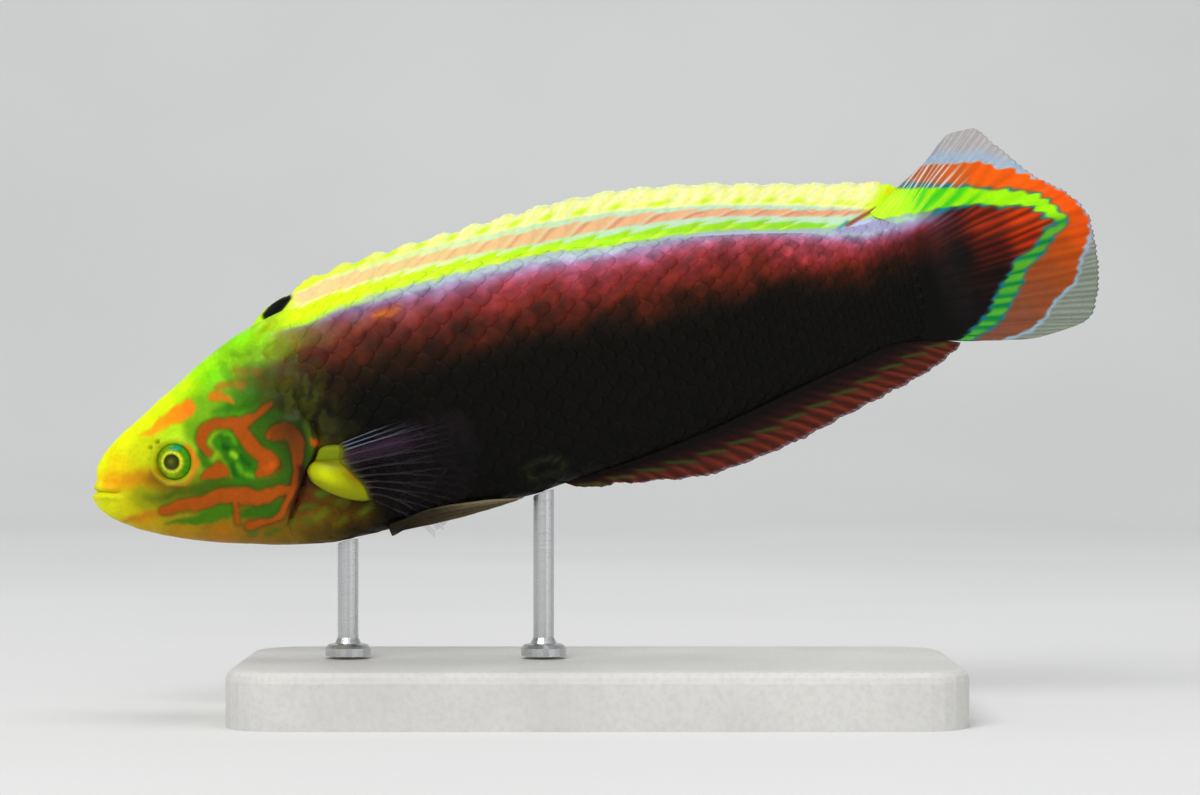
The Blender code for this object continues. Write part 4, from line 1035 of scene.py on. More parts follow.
def make_dorsal_fin():
    share, t, middle = midline_grid(
        DORSAL_START, DORSAL_END, DORSAL_MARGIN, DORSAL_LEAN, DORSAL_RAYS, DORSAL_SPINES,
        DORSAL_GRID, 1, 1,
    )
    rays = branching(share, t, DORSAL_RAYS)
    tones = dorsal_tones(middle[..., 0], middle[..., 2], t, rays)
    clear_edge = rise(t, 0.9, 0.1) * fall(share, 0.97, 0.03)
    solid = 1 - 0.45 * clear_edge * (1 - rays)
    return closed_fin("dorsal_skin", middle, fin_half(t, rays), tones, solid)


def anal_tones(s, h, share, t, rays):
    coat = Paint(s, h, (0.05, 0.02, 0.02), 0.06)
    phase = share * (ANAL_RAYS - 1)
    along = phase % 1
    streak = swell(2 * phase + 0.12 * waves(s, h, 33, 5))
    begun = between(0.55, 1, rise(s, 48, 14))
    coat.lay((0.2, 0.06, 0.03), rise(t, 0.1, 0.35) * between(0.35, 0.9, streak) * begun)
    coat.lay((0.4, 0.15, 0.09), rise(t, 0.42, 0.25) * between(0.45, 0.95, streak) * begun)
    plain, step = coat.tones, 0.8 * (along - 0.5)
    coat.h = coat.h + step
    coat.mark(
        ((50, -12.8, 0.45), (52.2, -12.9, 0.45), (56.5, -13, 0.45), (63.1, -13, 0.45),
         (69.8, -12.3, 0.45), (74.4, -11.4, 0.45), (80.2, -10.3, 0.45), (86.1, -8.8, 0.45),
         (91.8, -7.9, 0.45)),
        (0.22, 0.31, 0.1), 0.6, 0.85,
    )
    coat.h = coat.h - step
    dashes = ease(np.sin(math.pi * along) * 1.4 - 0.15)
    coat.tones = between(plain, coat.tones, dashes[..., None])
    coat.lay((0.5, 0.43, 0.54), rise(t, 0.94, 0.05) * 0.7)
    coat.tones *= 1 + 0.2 * (rays - 0.4)[..., None]
    return coat.finished()


def make_anal_fin():
    share, t, middle = midline_grid(
        ANAL_START, ANAL_END, ANAL_MARGIN, ANAL_LEAN, ANAL_RAYS, ANAL_SPINES, ANAL_GRID, -1, 0.55
    )
    rays = branching(share, t, ANAL_RAYS)
    tones = anal_tones(middle[..., 0], middle[..., 2], share, t, rays)
    solid = 1 - 0.5 * rise(t, 0.88, 0.1) * (1 - rays)
    return closed_fin("anal_skin", middle, fin_half(t, rays), tones, solid)


TAIL_RAYS = 16
TAIL_TIPS = (
    (0, 91.7, 9.6), (0.06, 94.6, 11.1), (0.12, 98, 13.35), (0.18, 100.4, 13.3), (0.26, 102.4, 11),
    (0.36, 105.2, 7.1), (0.48, 108.6, 3.7), (0.56, 110, 0.7), (0.68, 109.7, -3.3),
    (0.8, 108.5, -7.4), (0.88, 106.5, -9.8), (0.94, 101.5, -10.15), (1, 93.4, -8.5),
)
TAIL_ORANGE_EDGE = (
    (86, 6), (86, 9), (89, 10.4), (92, 10.8), (94.4, 10.7), (95.8, 10.4), (97.7, 10), (100.3, 9.4),
    (101.7, 8.5), (103.7, 7.8), (105, 6.6), (106.4, 5.8), (107.7, 4.5), (109, 3.1), (109.5, 1.9),
    (109.9, 0.7), (109.4, -0.9), (108.1, -2.7), (106.8, -4.9), (105.4, -6.1), (104, -6.6),
    (102.8, -7.6), (101.5, -8.6), (99.7, -9.2), (96.9, -9.3), (93.8, -8.9), (91, -8.2), (88, -8.2),
)
TAIL_CRESCENT = (  # s, h and width
    (85, 7.6, 3), (88.6, 7.8, 3.1), (91, 7.5, 2.9), (93.7, 7, 2.3), (96.8, 6.6, 1.9),
    (99.8, 5.7, 1.7), (102.3, 4.9, 1.5), (104.4, 4.3, 1.5), (105.5, 3.1, 1.5), (106.5, 1.9, 1),
    (107, 1.3, 0.7), (106.2, 0.6, 0.75), (105.5, 0.4, 0.95), (104.5, -0.5, 0.95),
    (103.2, -1.4, 1), (101.5, -2.2, 1.3), (100.2, -3.6, 1.5), (99.2, -4.7, 1.5),
    (98.1, -5.7, 1.5), (96.9, -6.9, 1.2), (95.4, -7.7, 0.95), (93.6, -8.3, 0.75), (92, -8.5, 0.6),
)
TAIL_INNER_TONES = (
    (90, 5, (0.25, 0.12, 0.2)), (90, 0, (0.04, 0.02, 0.02)), (90, -6, (0.02, 0.01, 0.01)),
    (94, 4, (0.3, 0.1, 0.12)), (95, 0, (0.06, 0.02, 0.02)), (95, -5, (0.05, 0.02, 0.02)),
    (99, 3, (0.62, 0.16, 0.03)), (99, 0, (0.3, 0.06, 0.02)), (99, -2.8, (0.1, 0.03, 0.02)),
    (103, 2.4, (0.85, 0.24, 0)), (103, 0.2, (0.7, 0.17, 0)), (105.4, 1.5, (0.85, 0.25, 0)),
)
# The orange margin's own colour, painted brightest on the upper lobe and dimmer and browner down
# the lower lobe as painted light from above.
TAIL_OUTER_TONES = (
    (92, 9.5, (0.72, 0.42, 0.25)), (94.5, 9.5, (0.75, 0.4, 0.21)), (97.3, 9, (0.84, 0.38, 0.12)),
    (100, 8.4, (0.98, 0.38, 0.01)), (104, 6.4, (1, 0.38, 0)), (107.5, 3.5, (1, 0.35, 0)),
    (108.5, 0, (0.88, 0.31, 0.01)), (106, -2, (0.72, 0.29, 0.05)),
    (104.5, -3.5, (0.62, 0.28, 0.1)), (103, -5.5, (0.56, 0.28, 0.15)),
    (100, -7.6, (0.52, 0.29, 0.19)), (96.5, -8.6, (0.5, 0.3, 0.22)),
)


def tail_tones(s, h, share, t):
    """The tail's colours, with its solidness: clear outside the orange."""
    coat = Paint(s, h, (0.66, 0.63, 0.62), 0.14)
    phase = share * (TAIL_RAYS - 1)
    drift = waves(share * 40, t * 4, 91, 6)
    fine = swell(4 * phase + 0.5 * drift)
    below = fall(h, -0.5, 4)
    coat.lay((0.5, 0.56, 0.47), 0.9 * below)
    coat.lay((0.34, 0.38, 0.32), 0.45 * fine * fall(h, 1, 4))
    coat.lay((0.93, 0.93, 0.95), 0.4 * fine * ease(h / 4))
    corner = hump(s, 103.5, 2.6) * rise(h, 0.5, 2)
    shift = np.sin(math.tau * (2 * phase + 0.3 * drift)) * rise(t, 0.2, 0.3)
    shift *= 0.12 + 0.3 * corner
    coat.s = coat.s + shift
    gap = inside_outline(coat.s, coat.h, np.array(TAIL_ORANGE_EDGE))
    # The orange margin, with painted light: brighter on the upper lobe, dimmer on the lower.
    coat.lay(blended(s, h, TAIL_OUTER_TONES), edge(gap, 0.3))
    wide = between(0.2, 0.7, rise(h, 6, 4))
    blue_edge = hump(gap, wide, wide) * edge(-gap, 0.1)
    coat.lay((0.6, 0.74, 0.88), 0.75 * blue_edge)
    crescent = smooth_line(TAIL_CRESCENT)
    inner = inside_outline(coat.s, coat.h, crescent[:, :2])
    from_body = ease((97 - coat.s - 0.5 * shift) / 6)[..., None]
    deep = between(blended(s, h, TAIL_INNER_TONES), body_tones(coat.s, coat.h), from_body)
    streaks = swell(2 * phase + 0.35 + 0.6 * drift)
    deep = deep * (1 - 0.45 * streaks * rise(s, 91, 5))[..., None]
    stalk = fall(s, 92.8, 0.6) * rise(h, -8.1, 0.3) * fall(h, 7.4, 0.4)
    coat.lay(deep, np.maximum(edge(inner, 0.3), stalk))
    near, _ = reach_of_line(coat.s, coat.h, crescent)
    lower = fall(h, 2.5, 2)
    lumps = swell(1.5 * phase + 0.35 * drift)
    teal = between(0.3, 0.7, fall(s, 98, 5) * ease(h / 3))
    begun = between(rise(s, 92.5, 2), rise(s, 89.8, 1.5), rise(h, 7.3, 0.8))
    rim = edge(near - teal, 0.4) * between(0.4, 0.9, lumps)
    coat.lay((0.05, 0.5, 0.58), rim * begun)
    green = between((0.62, 0.95, 0), (0.32, 0.66, 0.16), lower[..., None])
    green = between(green, (0.76, 1, 0.03), fall(s, 93, 3.5)[..., None])
    coat.lay(green, 0.97 * edge(near, 0.35))
    dark = between((0.1, 0.74, 0.12), (0, 0.46, 0.24), lower[..., None])
    upper_dark = fall(s, 101, 4) * rise(s, 91, 2) * 0.7
    coat.lay(dark, edge(near, 0.3) * lumps**2 * np.maximum(upper_dark, 0.9 * lower))
    coat.lay((0.05, 0.3, 0.6), edge(np.abs(near) - 0.1, 0.3) * lumps**3 * 0.5 * lower)
    outside = edge(-inner, 0.3) * edge(gap, 0.3) * edge(-near, 0.4)
    white = np.clip(np.sin(math.tau * (3 * phase + 0.3 * drift)) * 1.6 - 0.5, 0, 1)
    coat.lay((0.93, 0.93, 0.96), outside * white * 0.85 * fall(s, 99.5, 4) * ease(h / 3))
    coat.lay((0.75, 0.97, 0.85), edge(near, 0.3) * white * 0.35 * fall(s, 95, 3))
    coat.tones *= 1 - (outside * 0.09 * streaks)[..., None]
    clear = between(0.48, 0.66, fine)
    solid = between(1, np.where(h < 0, clear + 0.1, clear), rise(gap, 0.1, 0.5))
    return coat.finished(), solid


def make_tail_fin():
    tip_s, tip_h = curves(TAIL_TIPS)
    share, t = fin_grid(TAIL_GRID)
    phase = share * (TAIL_RAYS - 1)
    notch = 0.16 * dip(4 * phase) + 0.1 * waves(share * 60, 0 * share, 5, 3)
    top, bottom = float(back_at(BODY_END)), float(belly_at(BODY_END))
    s = between(BODY_END - 1.5 - 1.8 * fall(share, 0.14, 0.14), tip_s(share) - notch, t)
    root_h = between(top, bottom, share) * 0.96
    h = between(root_h, tip_h(share), t)
    past = np.maximum(s - BODY_END, 0) / (TOTAL_LENGTH - BODY_END)
    y = (5.8 * ease(h / top / 2) - 1.2 * ease(h / bottom / 2)) * past**1.4
    y += 0.12 * np.sin(math.tau * phase) * past
    tones, solid = tail_tones(s, h, share, t)
    flesh = (half_width_at_height(BODY_END, root_h / 0.98) + 0.06) * ease(share / 0.07)
    thin = np.maximum(rise(s, 91.3, 5.2), rise(t, 0.15, 0.4))
    fin = fin_half(t, branching(share, t, TAIL_RAYS), 0.09, 0.15)
    half = between(np.maximum(flesh, 0.1), fin, thin)
    return closed_fin("tail_skin", np.stack([s, y, h], axis=-1), half, tones, solid)


PECTORAL_RAYS = 11
PECTORAL_FRONT = (
    (0, 25.6, -1.75), (0.12, 24.9, -2), (0.24, 24.5, -2.5), (0.36, 24, -3.05),
    (0.45, 23.6, -3.3), (0.62, 23.25, -3.8), (0.85, 23.3, -4.5), (1, 23.8, -5.3),
)
PECTORAL_RAY_BASE = (
    (0, 26.8, -1.9), (0.18, 27, -2.5), (0.33, 26.7, -3.4), (0.45, 27, -4.4), (0.62, 27.7, -5.5),
    (0.85, 28.4, -6.9), (1, 28.5, -8),
)
PECTORAL_TIPS = (
    (0, 37.6, -0.2), (0.2, 40.6, -1.4), (0.45, 41.4, -4.4), (0.7, 39.2, -7.8), (1, 34.2, -10),
)
PELVIC_START, PELVIC_LENGTH, PELVIC_RAYS = 29.5, 14.5, 6
PELVIC_SIDES = ((0, 1.0, 2.6), (0.35, 1.0, 3.3), (0.75, 1.1, 2.9), (1, 1.3, 2.2))  # inner, outer y
PELVIC_REACH = ((0, 0.62), (0.4, 0.84), (0.8, 1), (1, 0.95))


def make_pectoral_fin(name, side):
    """A fleshy yellow lobe and a fan of dark rays with nearly clear skin between them."""
    share, t = fin_grid(PECTORAL_GRID, -1)
    front_s, front_h, base_s, base_h, tip_s, tip_h = (
        at(share) for knots in (PECTORAL_FRONT, PECTORAL_RAY_BASE, PECTORAL_TIPS)
        for at in curves(knots)
    )
    on_root = t < 0
    notch = 0.5 * dip(share * (PECTORAL_RAYS - 1)) * rise(t, 0.8, 0.2)
    root_part, ray_part = t + 1, np.maximum(t, 0)
    s, h = (
        np.where(on_root, between(front, base, root_part), between(base, tip, ray_part))
        for front, base, tip in ((front_s, base_s, tip_s - notch), (front_h, base_h, tip_h))
    )
    h = h - np.where(on_root, 0.5 * np.sin(math.pi * root_part) * share**3, 0)
    rays = branching(share, ray_part, PECTORAL_RAYS, 0.06, (0.3, 0.7)) * ease(ray_part / 0.06)
    thin = between(0.05, 0.14 * (1 - 0.6 * ray_part), rays)
    upper = np.sqrt(np.maximum(1 - ((share - 0.17) / 0.185) ** 2, 0))
    lower = np.sqrt(np.maximum(1 - ((share - 0.67) / 0.34) ** 2, 0))
    rounded = np.sqrt(1 - (1 - np.clip(root_part / 0.45, 0, 1)) ** 2)
    fleshy = np.maximum(0.3 * upper, 0.72 * lower) * between(0.2, 1, rounded) + 0.05
    half = between(fleshy, thin, rise(t, -0.12, 0.3))
    lift = np.where(on_root, 0.4 * root_part, 0.4 + 6.2 * ray_part**1.2)
    out = flank_normal(s, h, side)
    middle = flank_point(s, h, side) + out * (0.1 + half + lift)[..., None]
    tones, solid = pectoral_tones(s, h, share, t, rays)
    return closed_fin(name, middle, half, tones, solid)


def pectoral_tones(s, h, share, t, rays):
    """The pectoral fin's colours, with painted highlight and shade on its fleshy lobe, and its
    solidness.
    """
    root_part, ray_part = t + 1, np.maximum(t, 0)
    parting = hump(share - 0.05 * root_part, 0.34, 0.045)
    coat = Paint(s, h, (0.09, 0.07, 0.09), 0.08)
    violet = hump(share + 0.05 * ray_part, 0.32, 0.13)
    coat.lay((0.24, 0.16, 0.24), 0.9 * violet)
    coat.lay((0.38, 0.35, 0.35), rays * between(0.75, 0.2, ray_part))
    leading = fall(share, 0.3, 0.1) * fall(ray_part, 0.75, 0.5)
    coat.lay((0.46, 0.51, 0.6), rays * leading * 0.9)
    coat.lay((0.34, 0.32, 0.14), fall(ray_part, 0.1, 0.08) * 0.8)
    root = edge(t, 0.1)
    coat.lay((0.58, 0.6, 0), root)
    # Painted highlight: the fleshy lobe lighter along its middle.
    coat.lay((0.79, 0.83, 0), root * hump(share, 0.58, 0.17) * hump(root_part, 0.42, 0.32))
    # Painted shade: the lobe darker on its upper part and top edge, in the crease between its two
    # bulges, at its rear, at its lower tip and along its front edge by the body.
    coat.lay((0.46, 0.52, 0.02), root * fall(share, 0.38, 0.08) * 0.85)
    coat.lay((0.3, 0.36, 0), root * fall(share, 0.1, 0.08) * 0.7)
    coat.lay((0.42, 0.42, 0), root * parting * 0.85)
    rear = rise(t, -0.2, 0.2) * hump(share, 0.6, 0.16)
    coat.lay((0.45, 0.28, 0), root * rear * 0.75)
    coat.lay((0.3, 0.3, 0.02), root * rise(share, 0.93, 0.06) * 0.6)
    coat.lay((0.4, 0.3, 0.02), fall(t, -0.9, 0.08) * 0.6)
    held = violet * (1 - rise(ray_part, 0.34, 0.32))
    clear = between(0.1 + 0.5 * held, between(0.6, 0.85, leading), rays)
    clear = clear * (1 - 0.8 * rise(ray_part, 0.35, 0.5))
    return coat.finished(), between(1, clear, ease(ray_part / 0.1))


def make_pelvic_fin(name, side):
    """A short folded fan along the belly, pale at its lower edge."""
    inner_at, outer_at = curves(PELVIC_SIDES)
    share, t = fin_grid(PELVIC_GRID)
    notch = 0.03 * dip(share * (PELVIC_RAYS - 1))
    s = PELVIC_START + PELVIC_LENGTH * (curve(PELVIC_REACH)(share) - notch) * t
    y = between(inner_at(t), outer_at(t), share)
    rays = branching(share, t, PELVIC_RAYS)
    half = fin_half(t, rays, 0.08, 0.2, 0.5)
    h = belly_height_beside(s, y) - 0.35 - 0.3 * t
    middle = np.stack([s, side * y, h], axis=-1)
    coat = Paint(s, h, (0.2, 0.16, 0.08), 0.08)
    coat.lay((0.32, 0.26, 0.15), rise(t, 0.3, 0.4) * 0.8)
    coat.lay((0.68, 0.64, 0.5), rise(share, 0.6, 0.3) * rise(t, 0.3, 0.5) * 0.75)
    coat.lay((0.55, 0.51, 0.42), rays * rise(t, 0.2, 0.4) * 0.4)
    coat.lay((0.1, 0.08, 0.04), fall(t, 0.3, 0.3) * 0.8)
    solid = between(1, 0.55, rise(t, 0.3, 0.5) * (1 - rays))
    return closed_fin(name, middle, half, coat.finished(), solid)


# The scales

SCALE_ROWS, SCALE_CELLS = 13, 6  # down one side, and each way on a scale
SCALE_LIFT = (-0.05, 0.055)  # at a scale's root and at its edge
SCALE_THICKNESS = 0.012
SCALES_START, SCALES_END, SCALES_BEHIND_NECK = 17.5, 89, 0.9
SCALE_HALF, SMALLEST_PITCH = 0.62, 1.2  # half a scale's width, in pitches
TABLE_START, TABLE_END, TABLE_STATIONS, TABLE_SHARES = 16, 92, 300, 101
BAKE_PATCH = 0.003


def turn_by_arc(s, shares):
    """Turns, down one side from the back, that share out the ring's length evenly."""
    turns = np.linspace(0, math.pi, 200)
    ring = body_point(np.full(turns.shape, float(s)), turns)
    arc = np.concatenate([[0], np.cumsum(np.linalg.norm(np.diff(ring, axis=0), axis=1))])
    return np.interp(shares * arc[-1], arc, turns), arc[-1]


def scale_template():
    """One scale as a thin closed vane, as (share back, share across, side) of its points."""
    deselect()
    bpy.ops.mesh.primitive_grid_add(
        x_subdivisions=SCALE_CELLS, y_subdivisions=SCALE_CELLS, size=2
    )
    vane = start_piece("scale_template")
    for vertex in vane.data.vertices:
        x, y, _ = vertex.co
        rear = max(x, 0) ** 2 * 0.42
        vertex.co = ((x - rear * y * y * 0.9) * 0.5 + 0.5, y * (1 - 0.3 * max(x, 0) ** 2.4), 0)
    wall = vane.modifiers.new("wall", "SOLIDIFY")
    wall.thickness = 1
    wall.offset = -1
    bpy.ops.object.modifier_apply(modifier=wall.name)
    points = np.array([vertex.co[:] for vertex in vane.data.vertices])
    faces = np.array([face.vertices[:] for face in vane.data.polygons])
    bpy.data.objects.remove(vane, do_unlink=True)
    return points, faces


def scale_roots():
    """(s, arc share, pitch) of each scale's middle on one side, in staggered stations."""
    roots = []
    s, odd = SCALES_START, False
    while s < SCALES_END:
        shares = (np.arange(SCALE_ROWS) + (0.75 if odd else 0.25)) / SCALE_ROWS
        turns, length = turn_by_arc(s, shares)
        pitch = length / SCALE_ROWS
        for share, (_, _, h) in zip(shares, body_point(np.full(turns.shape, float(s)), turns)):
            if s > neck_at(-h) + SCALES_BEHIND_NECK:
                roots.append((s, share, pitch))
        s += SCALE_HALF * max(pitch, SMALLEST_PITCH)
        odd = not odd
    return np.array(roots)


def turn_by_share(s, share):
    """Turns at arc shares down one side, read from a table of rings, and past either end."""
    stations = np.linspace(TABLE_START, TABLE_END, TABLE_STATIONS)
    shares = np.linspace(0, 1, TABLE_SHARES)
    tables = np.array([turn_by_arc(place, shares)[0] for place in stations])
    last = TABLE_STATIONS - 1
    where = np.clip((s - TABLE_START) / (TABLE_END - TABLE_START) * last, 0, last - 0.001)
    row = where.astype(int)
    inside = np.clip(share, 0, 1)
    column = np.minimum((inside * (TABLE_SHARES - 1)).astype(int), TABLE_SHARES - 2)
    part = inside * (TABLE_SHARES - 1) - column
    near, far = (
        between(tables[row + k, column], tables[row + k, column + 1], part) for k in (0, 1)
    )
    return between(near, far, where - row) + (share - inside) * math.pi


def body_normal(s, turns):
    """Outward directions of the plain body."""
    small = 0.01
    plain = body_point(s, turns)
    along, around = body_point(s + small, turns) - plain, body_point(s, turns + small) - plain
    return unit(np.cross(along, around))


def make_scales(name, side, seed):
    """One side's scales in one piece, each with its own small shift and tone, and with painted
    light and shade across it.
    """
    template, faces = scale_template()
    roots = scale_roots()
    rng = np.random.default_rng(seed)
    count = len(roots)
    back, across, under = template.T
    jitter = rng.normal(0, 0.05, (count, 2))[:, :1]
    s0, share0, pitch = (roots[:, k, None] for k in range(3))
    s = s0 + pitch * (2.0 * (back - 0.15) + jitter)
    turns = turn_by_share(s, np.clip(share0 + SCALE_HALF * across / SCALE_ROWS, -0.02, 1.02))
    plain = body_point(s, turns)
    from_neck = rise(s0 - neck_at(-plain[:, :1, 2]), 0.3, 4)
    lift = between(*SCALE_LIFT, back) * np.clip(pitch / 2, 0.6, 1)
    lift = lift * between(0.45, 1, from_neck * fall(s0, 91, 6)) - 0.025 * across**2
    points = plain + body_normal(s, turns) * (lift + under * SCALE_THICKNESS)[..., None]
    points[..., 1] *= side
    seen_s, seen_h = seen(plain)
    # Each scale's tone varies at random, and painted light and shade make it lighter towards its
    # free edge and darker towards its root, under the scale in front, and towards its sides.
    shade = 1 + 0.13 * rng.normal(size=(count, 1)) + 0.2 * (back - 0.6) - 0.06 * across**2
    bright = rise(seen_h - line_low_at(seen_s), -0.4, 0.8)
    shade = between(1, shade, (1 - 0.75 * bright) * between(0.3, 1, from_neck))
    tones = paint_body(seen_s, seen_h) * np.clip(shade, 0.4, 1.7)[..., None]
    corners = (faces + (np.arange(count) * len(template))[:, None, None]).reshape(-1, 4)
    mesh = bpy.data.meshes.new(name)
    mesh.from_pydata(placed(points).reshape(-1, 3), [], corners[:, ::side].tolist())
    piece = bpy.data.objects.new(name, mesh)
    bpy.context.scene.collection.objects.link(piece)
    add_tones(piece, tones.reshape(-1, 3))
    bake_map(piece, s0, share0, back, across, side)
    outer = (under[faces] > -0.5).all(axis=1)
    mesh.polygons.foreach_set("use_smooth", np.tile(outer, count))
    return piece


def bake_map(piece, s0, share0, back, across, side):
    """The OFBake map: each scale a small patch at its root's place."""
    u = s0 / TOTAL_LENGTH + BAKE_PATCH * (back - 0.5)
    v = 0.5 + side * (0.02 + 0.46 * share0) + BAKE_PATCH * across / 2
    places = np.stack([u, v], axis=-1).reshape(-1, 2)
    layer = piece.data.uv_layers.new(name="OFBake")
    corners = np.empty(len(piece.data.loops), np.int32)
    piece.data.loops.foreach_get("vertex_index", corners)
    set_values(layer, "uv", places[corners])


# The eyes


def eye_points(side, radius, depth, columns):
    """A round form in the eye's socket from its rings, with their radius and turn by point."""
    place = np.array(EYE_S), np.array(EYE_H), side
    out = flank_normal(*place)
    back = unit(np.array([1.0, 0, 0]) - out * out[0])
    up = np.cross(back, out)
    up *= np.sign(up[2])
    r, a = np.meshgrid(radius, np.linspace(0, math.tau, columns), indexing="ij")
    z = np.repeat(np.asarray(depth, float)[:, None], columns, axis=1)
    parts = ((back, r * np.cos(a)), (up, r * np.sin(a)), (out, z))
    centre = flank_point(*place) - out * EYE_SUNK
    return centre + sum(axis * length[..., None] for axis, length in parts), r, a


EYE_COLUMNS, CORNEA_COLUMNS = 97, 65


def dome(reach, radius, depth):
    """Depths of a rounded cap at reaches from its middle."""
    return depth * np.sqrt(1 - (np.asarray(reach) / radius) ** 2)


def make_eye(name, side):
    """An eyeball with its rings, a sunk pupil and two painted highlights, turned to face out of the
    flank.
    """
    rims = np.linspace(0.88, EYE_RADIUS, 28)
    behind = np.linspace(0.1, math.pi / 2, 12)
    radius = np.concatenate([(0, 0.25, 0.5, 0.65, 0.75, 0.82), rims, EYE_RADIUS * np.cos(behind)])
    depth = np.concatenate([
        (1.02, 1.03, 1.06, 1.1, 1.18, 1.25), dome(rims, EYE_RADIUS, EYE_DEPTH * 0.99),
        -EYE_DEPTH * np.sin(behind),
    ])
    points, r, a = eye_points(side, radius, depth, EYE_COLUMNS)
    s, h = r * np.cos(a), r * np.sin(a)
    coat = Paint(s, h, (0.5, 0.64, 0.04), 0.03)
    for tone, cover in (
        ((0.36, 0.5, 0.02), rise(r, 1.45, 0.3) * fall(s, 0.5, 1.5) * 0.7),
        ((0.25, 0.6, 0.04), rise(r, 1.25, 0.12) * rise(s, 0.2, 0.8) * 0.85),
        ((0.05, 0.6, 0.5), hump(s, 0.75, 0.75) * hump(h, 1.35, 0.4) * 0.9),
        # Painted highlight, low on the iris.
        ((0.55, 0.84, 0.12), hump(s, -0.6, 0.55) * hump(h, -1.3, 0.3) * 0.9),
        ((0.93, 0.91, 0.16), hump(r, 1.04, 0.17) * 0.95),
        ((0.2, 0.22, 0.02), fall(r, 0.86, 0.12)),
        # Painted highlight in the pupil, a little left of its middle.
        ((0.45, 0.5, 0.1), hump(s, -0.15, 0.4) * hump(h, 0.1, 0.34) * 0.9),
    ):
        coat.lay(tone, cover)
    coat.tones *= 1 + 0.07 * (np.sin(a * 23) * np.sin(a * 9 + 1) * (r > 0.9))[..., None]
    coat.tones[depth <= 0] = (0.1, 0.1, 0.03)
    return close_up(sheet_piece(name, placed(points), coat.finished()))


def make_cornea(name, side):
    """The clear window over the iris and pupil."""
    cap, inner = np.linspace(0, 1.5, 16), np.linspace(1.5, 0, 12)
    depth = np.concatenate([dome(cap, 2.05, 1.5), dome(inner, 1.97, 1.4)])
    points, _, _ = eye_points(side, np.concatenate([cap, inner]), depth, CORNEA_COLUMNS)
    return close_up(sheet_piece(name, placed(points)))


def cornea_material():
    made = Shader("Clear cornea")
    made.set(
        Base_Color=(1, 1, 1, 1), Roughness=0.04, IOR=1.1, Transmission_Weight=1.0,
        Normal=made.bump(made.noise(1500), 0.03, 0.00002),
    )
    return made.owner


# The stand


def plate_material(tone):
    """Satin stone-grey plate with a fine cast grain."""
    made = Shader("Satin plate")
    grain, clouds = made.noise(1800, 4), made.noise(60, 3)
    darker, lighter = ([*(channel * part for channel in tone[:3]), 1] for part in (0.93, 1.06))
    tone = made.mix(made.span(clouds, 0.3, 0.7), darker, lighter)
    tone = made.mix(made.span(grain, 0.35, 0.75, 0, 0.35), tone, (0.5, 0.49, 0.47, 1))
    return made.surface(tone, clouds, (0.42, 0.55), grain, (0.3, 0.00005))


def rod_material():
    """Brushed steel, its fine lines round the rod."""
    made = Shader("Brushed rod")
    lines = made.noise(1500, 4, 0.6, (0.3, 0.3, 6))
    tone = made.mix(lines, (0.55, 0.56, 0.57, 1), (0.72, 0.72, 0.72, 1))
    return made.surface(tone, lines, (0.25, 0.42), lines, (0.2, 0.00003), Metallic=1.0)


# The stage


def stage_material():
    made = Shader("Pale backdrop")
    clouds = made.noise(6, 2)
    tone = made.mix(made.span(clouds, 0.3, 0.7), (0.74, 0.74, 0.73, 1), (0.78, 0.78, 0.77, 1))
    return made.surface(tone, clouds, (0.7, 0.8), made.noise(900, 2), (0.05, 0.0001))


FLOOR_FRONT, FLOOR_BEND, BACKDROP_TOP, FLOOR_HALF_WIDTH, BEND_RADIUS = -1.6, 0.5, 2.2, 2.2, 0.4


def make_floor():
    """A pale floor that curves up into a backdrop."""
    bend = np.linspace(0, math.pi / 2, 24)
    y = np.concatenate([
        [FLOOR_FRONT, -BEND_RADIUS], FLOOR_BEND + BEND_RADIUS * np.sin(bend),
        [FLOOR_BEND + BEND_RADIUS],
    ])
    z = np.concatenate([[0, 0], BEND_RADIUS * (1 - np.cos(bend)), [BACKDROP_TOP]])
    x = np.linspace(-FLOOR_HALF_WIDTH, FLOOR_HALF_WIDTH, 9)
    across, y = np.meshgrid(x, y, indexing="ij")
    piece = sheet_piece("floor", np.stack([across, y, np.broadcast_to(z, y.shape)], axis=-1))
    select_only(piece)
    bpy.ops.object.shade_smooth()
    set_material(piece, stage_material())


FISH_MIDDLE = (0, 0, 0.04)
LIGHTS = (  # name, place, size, and power where it isn't the user's
    ("key", (-0.35, -0.75, 0.75), (0.7, 0.5), None),
    ("fill", (0.8, -0.6, 0.35), (0.6, 0.6), 1.6),
    ("top", (0.05, 0.1, 0.9), (0.8, 0.5), 2.6),
)
LENS, SENSOR_WIDTH, CLIP = 100, 36, (0.01, 20)
ROOM_TONE = (0.85, 0.87, 0.9, 1)


def aim(place, target):
    """The turn of a lamp or camera at a place that looks at a target."""
    toward = np.array(target, float) - np.array(place, float)
    up = math.atan2(toward[2], math.hypot(toward[0], toward[1]))
    return (math.pi / 2 + up, 0, math.atan2(toward[1], toward[0]) - math.pi / 2)


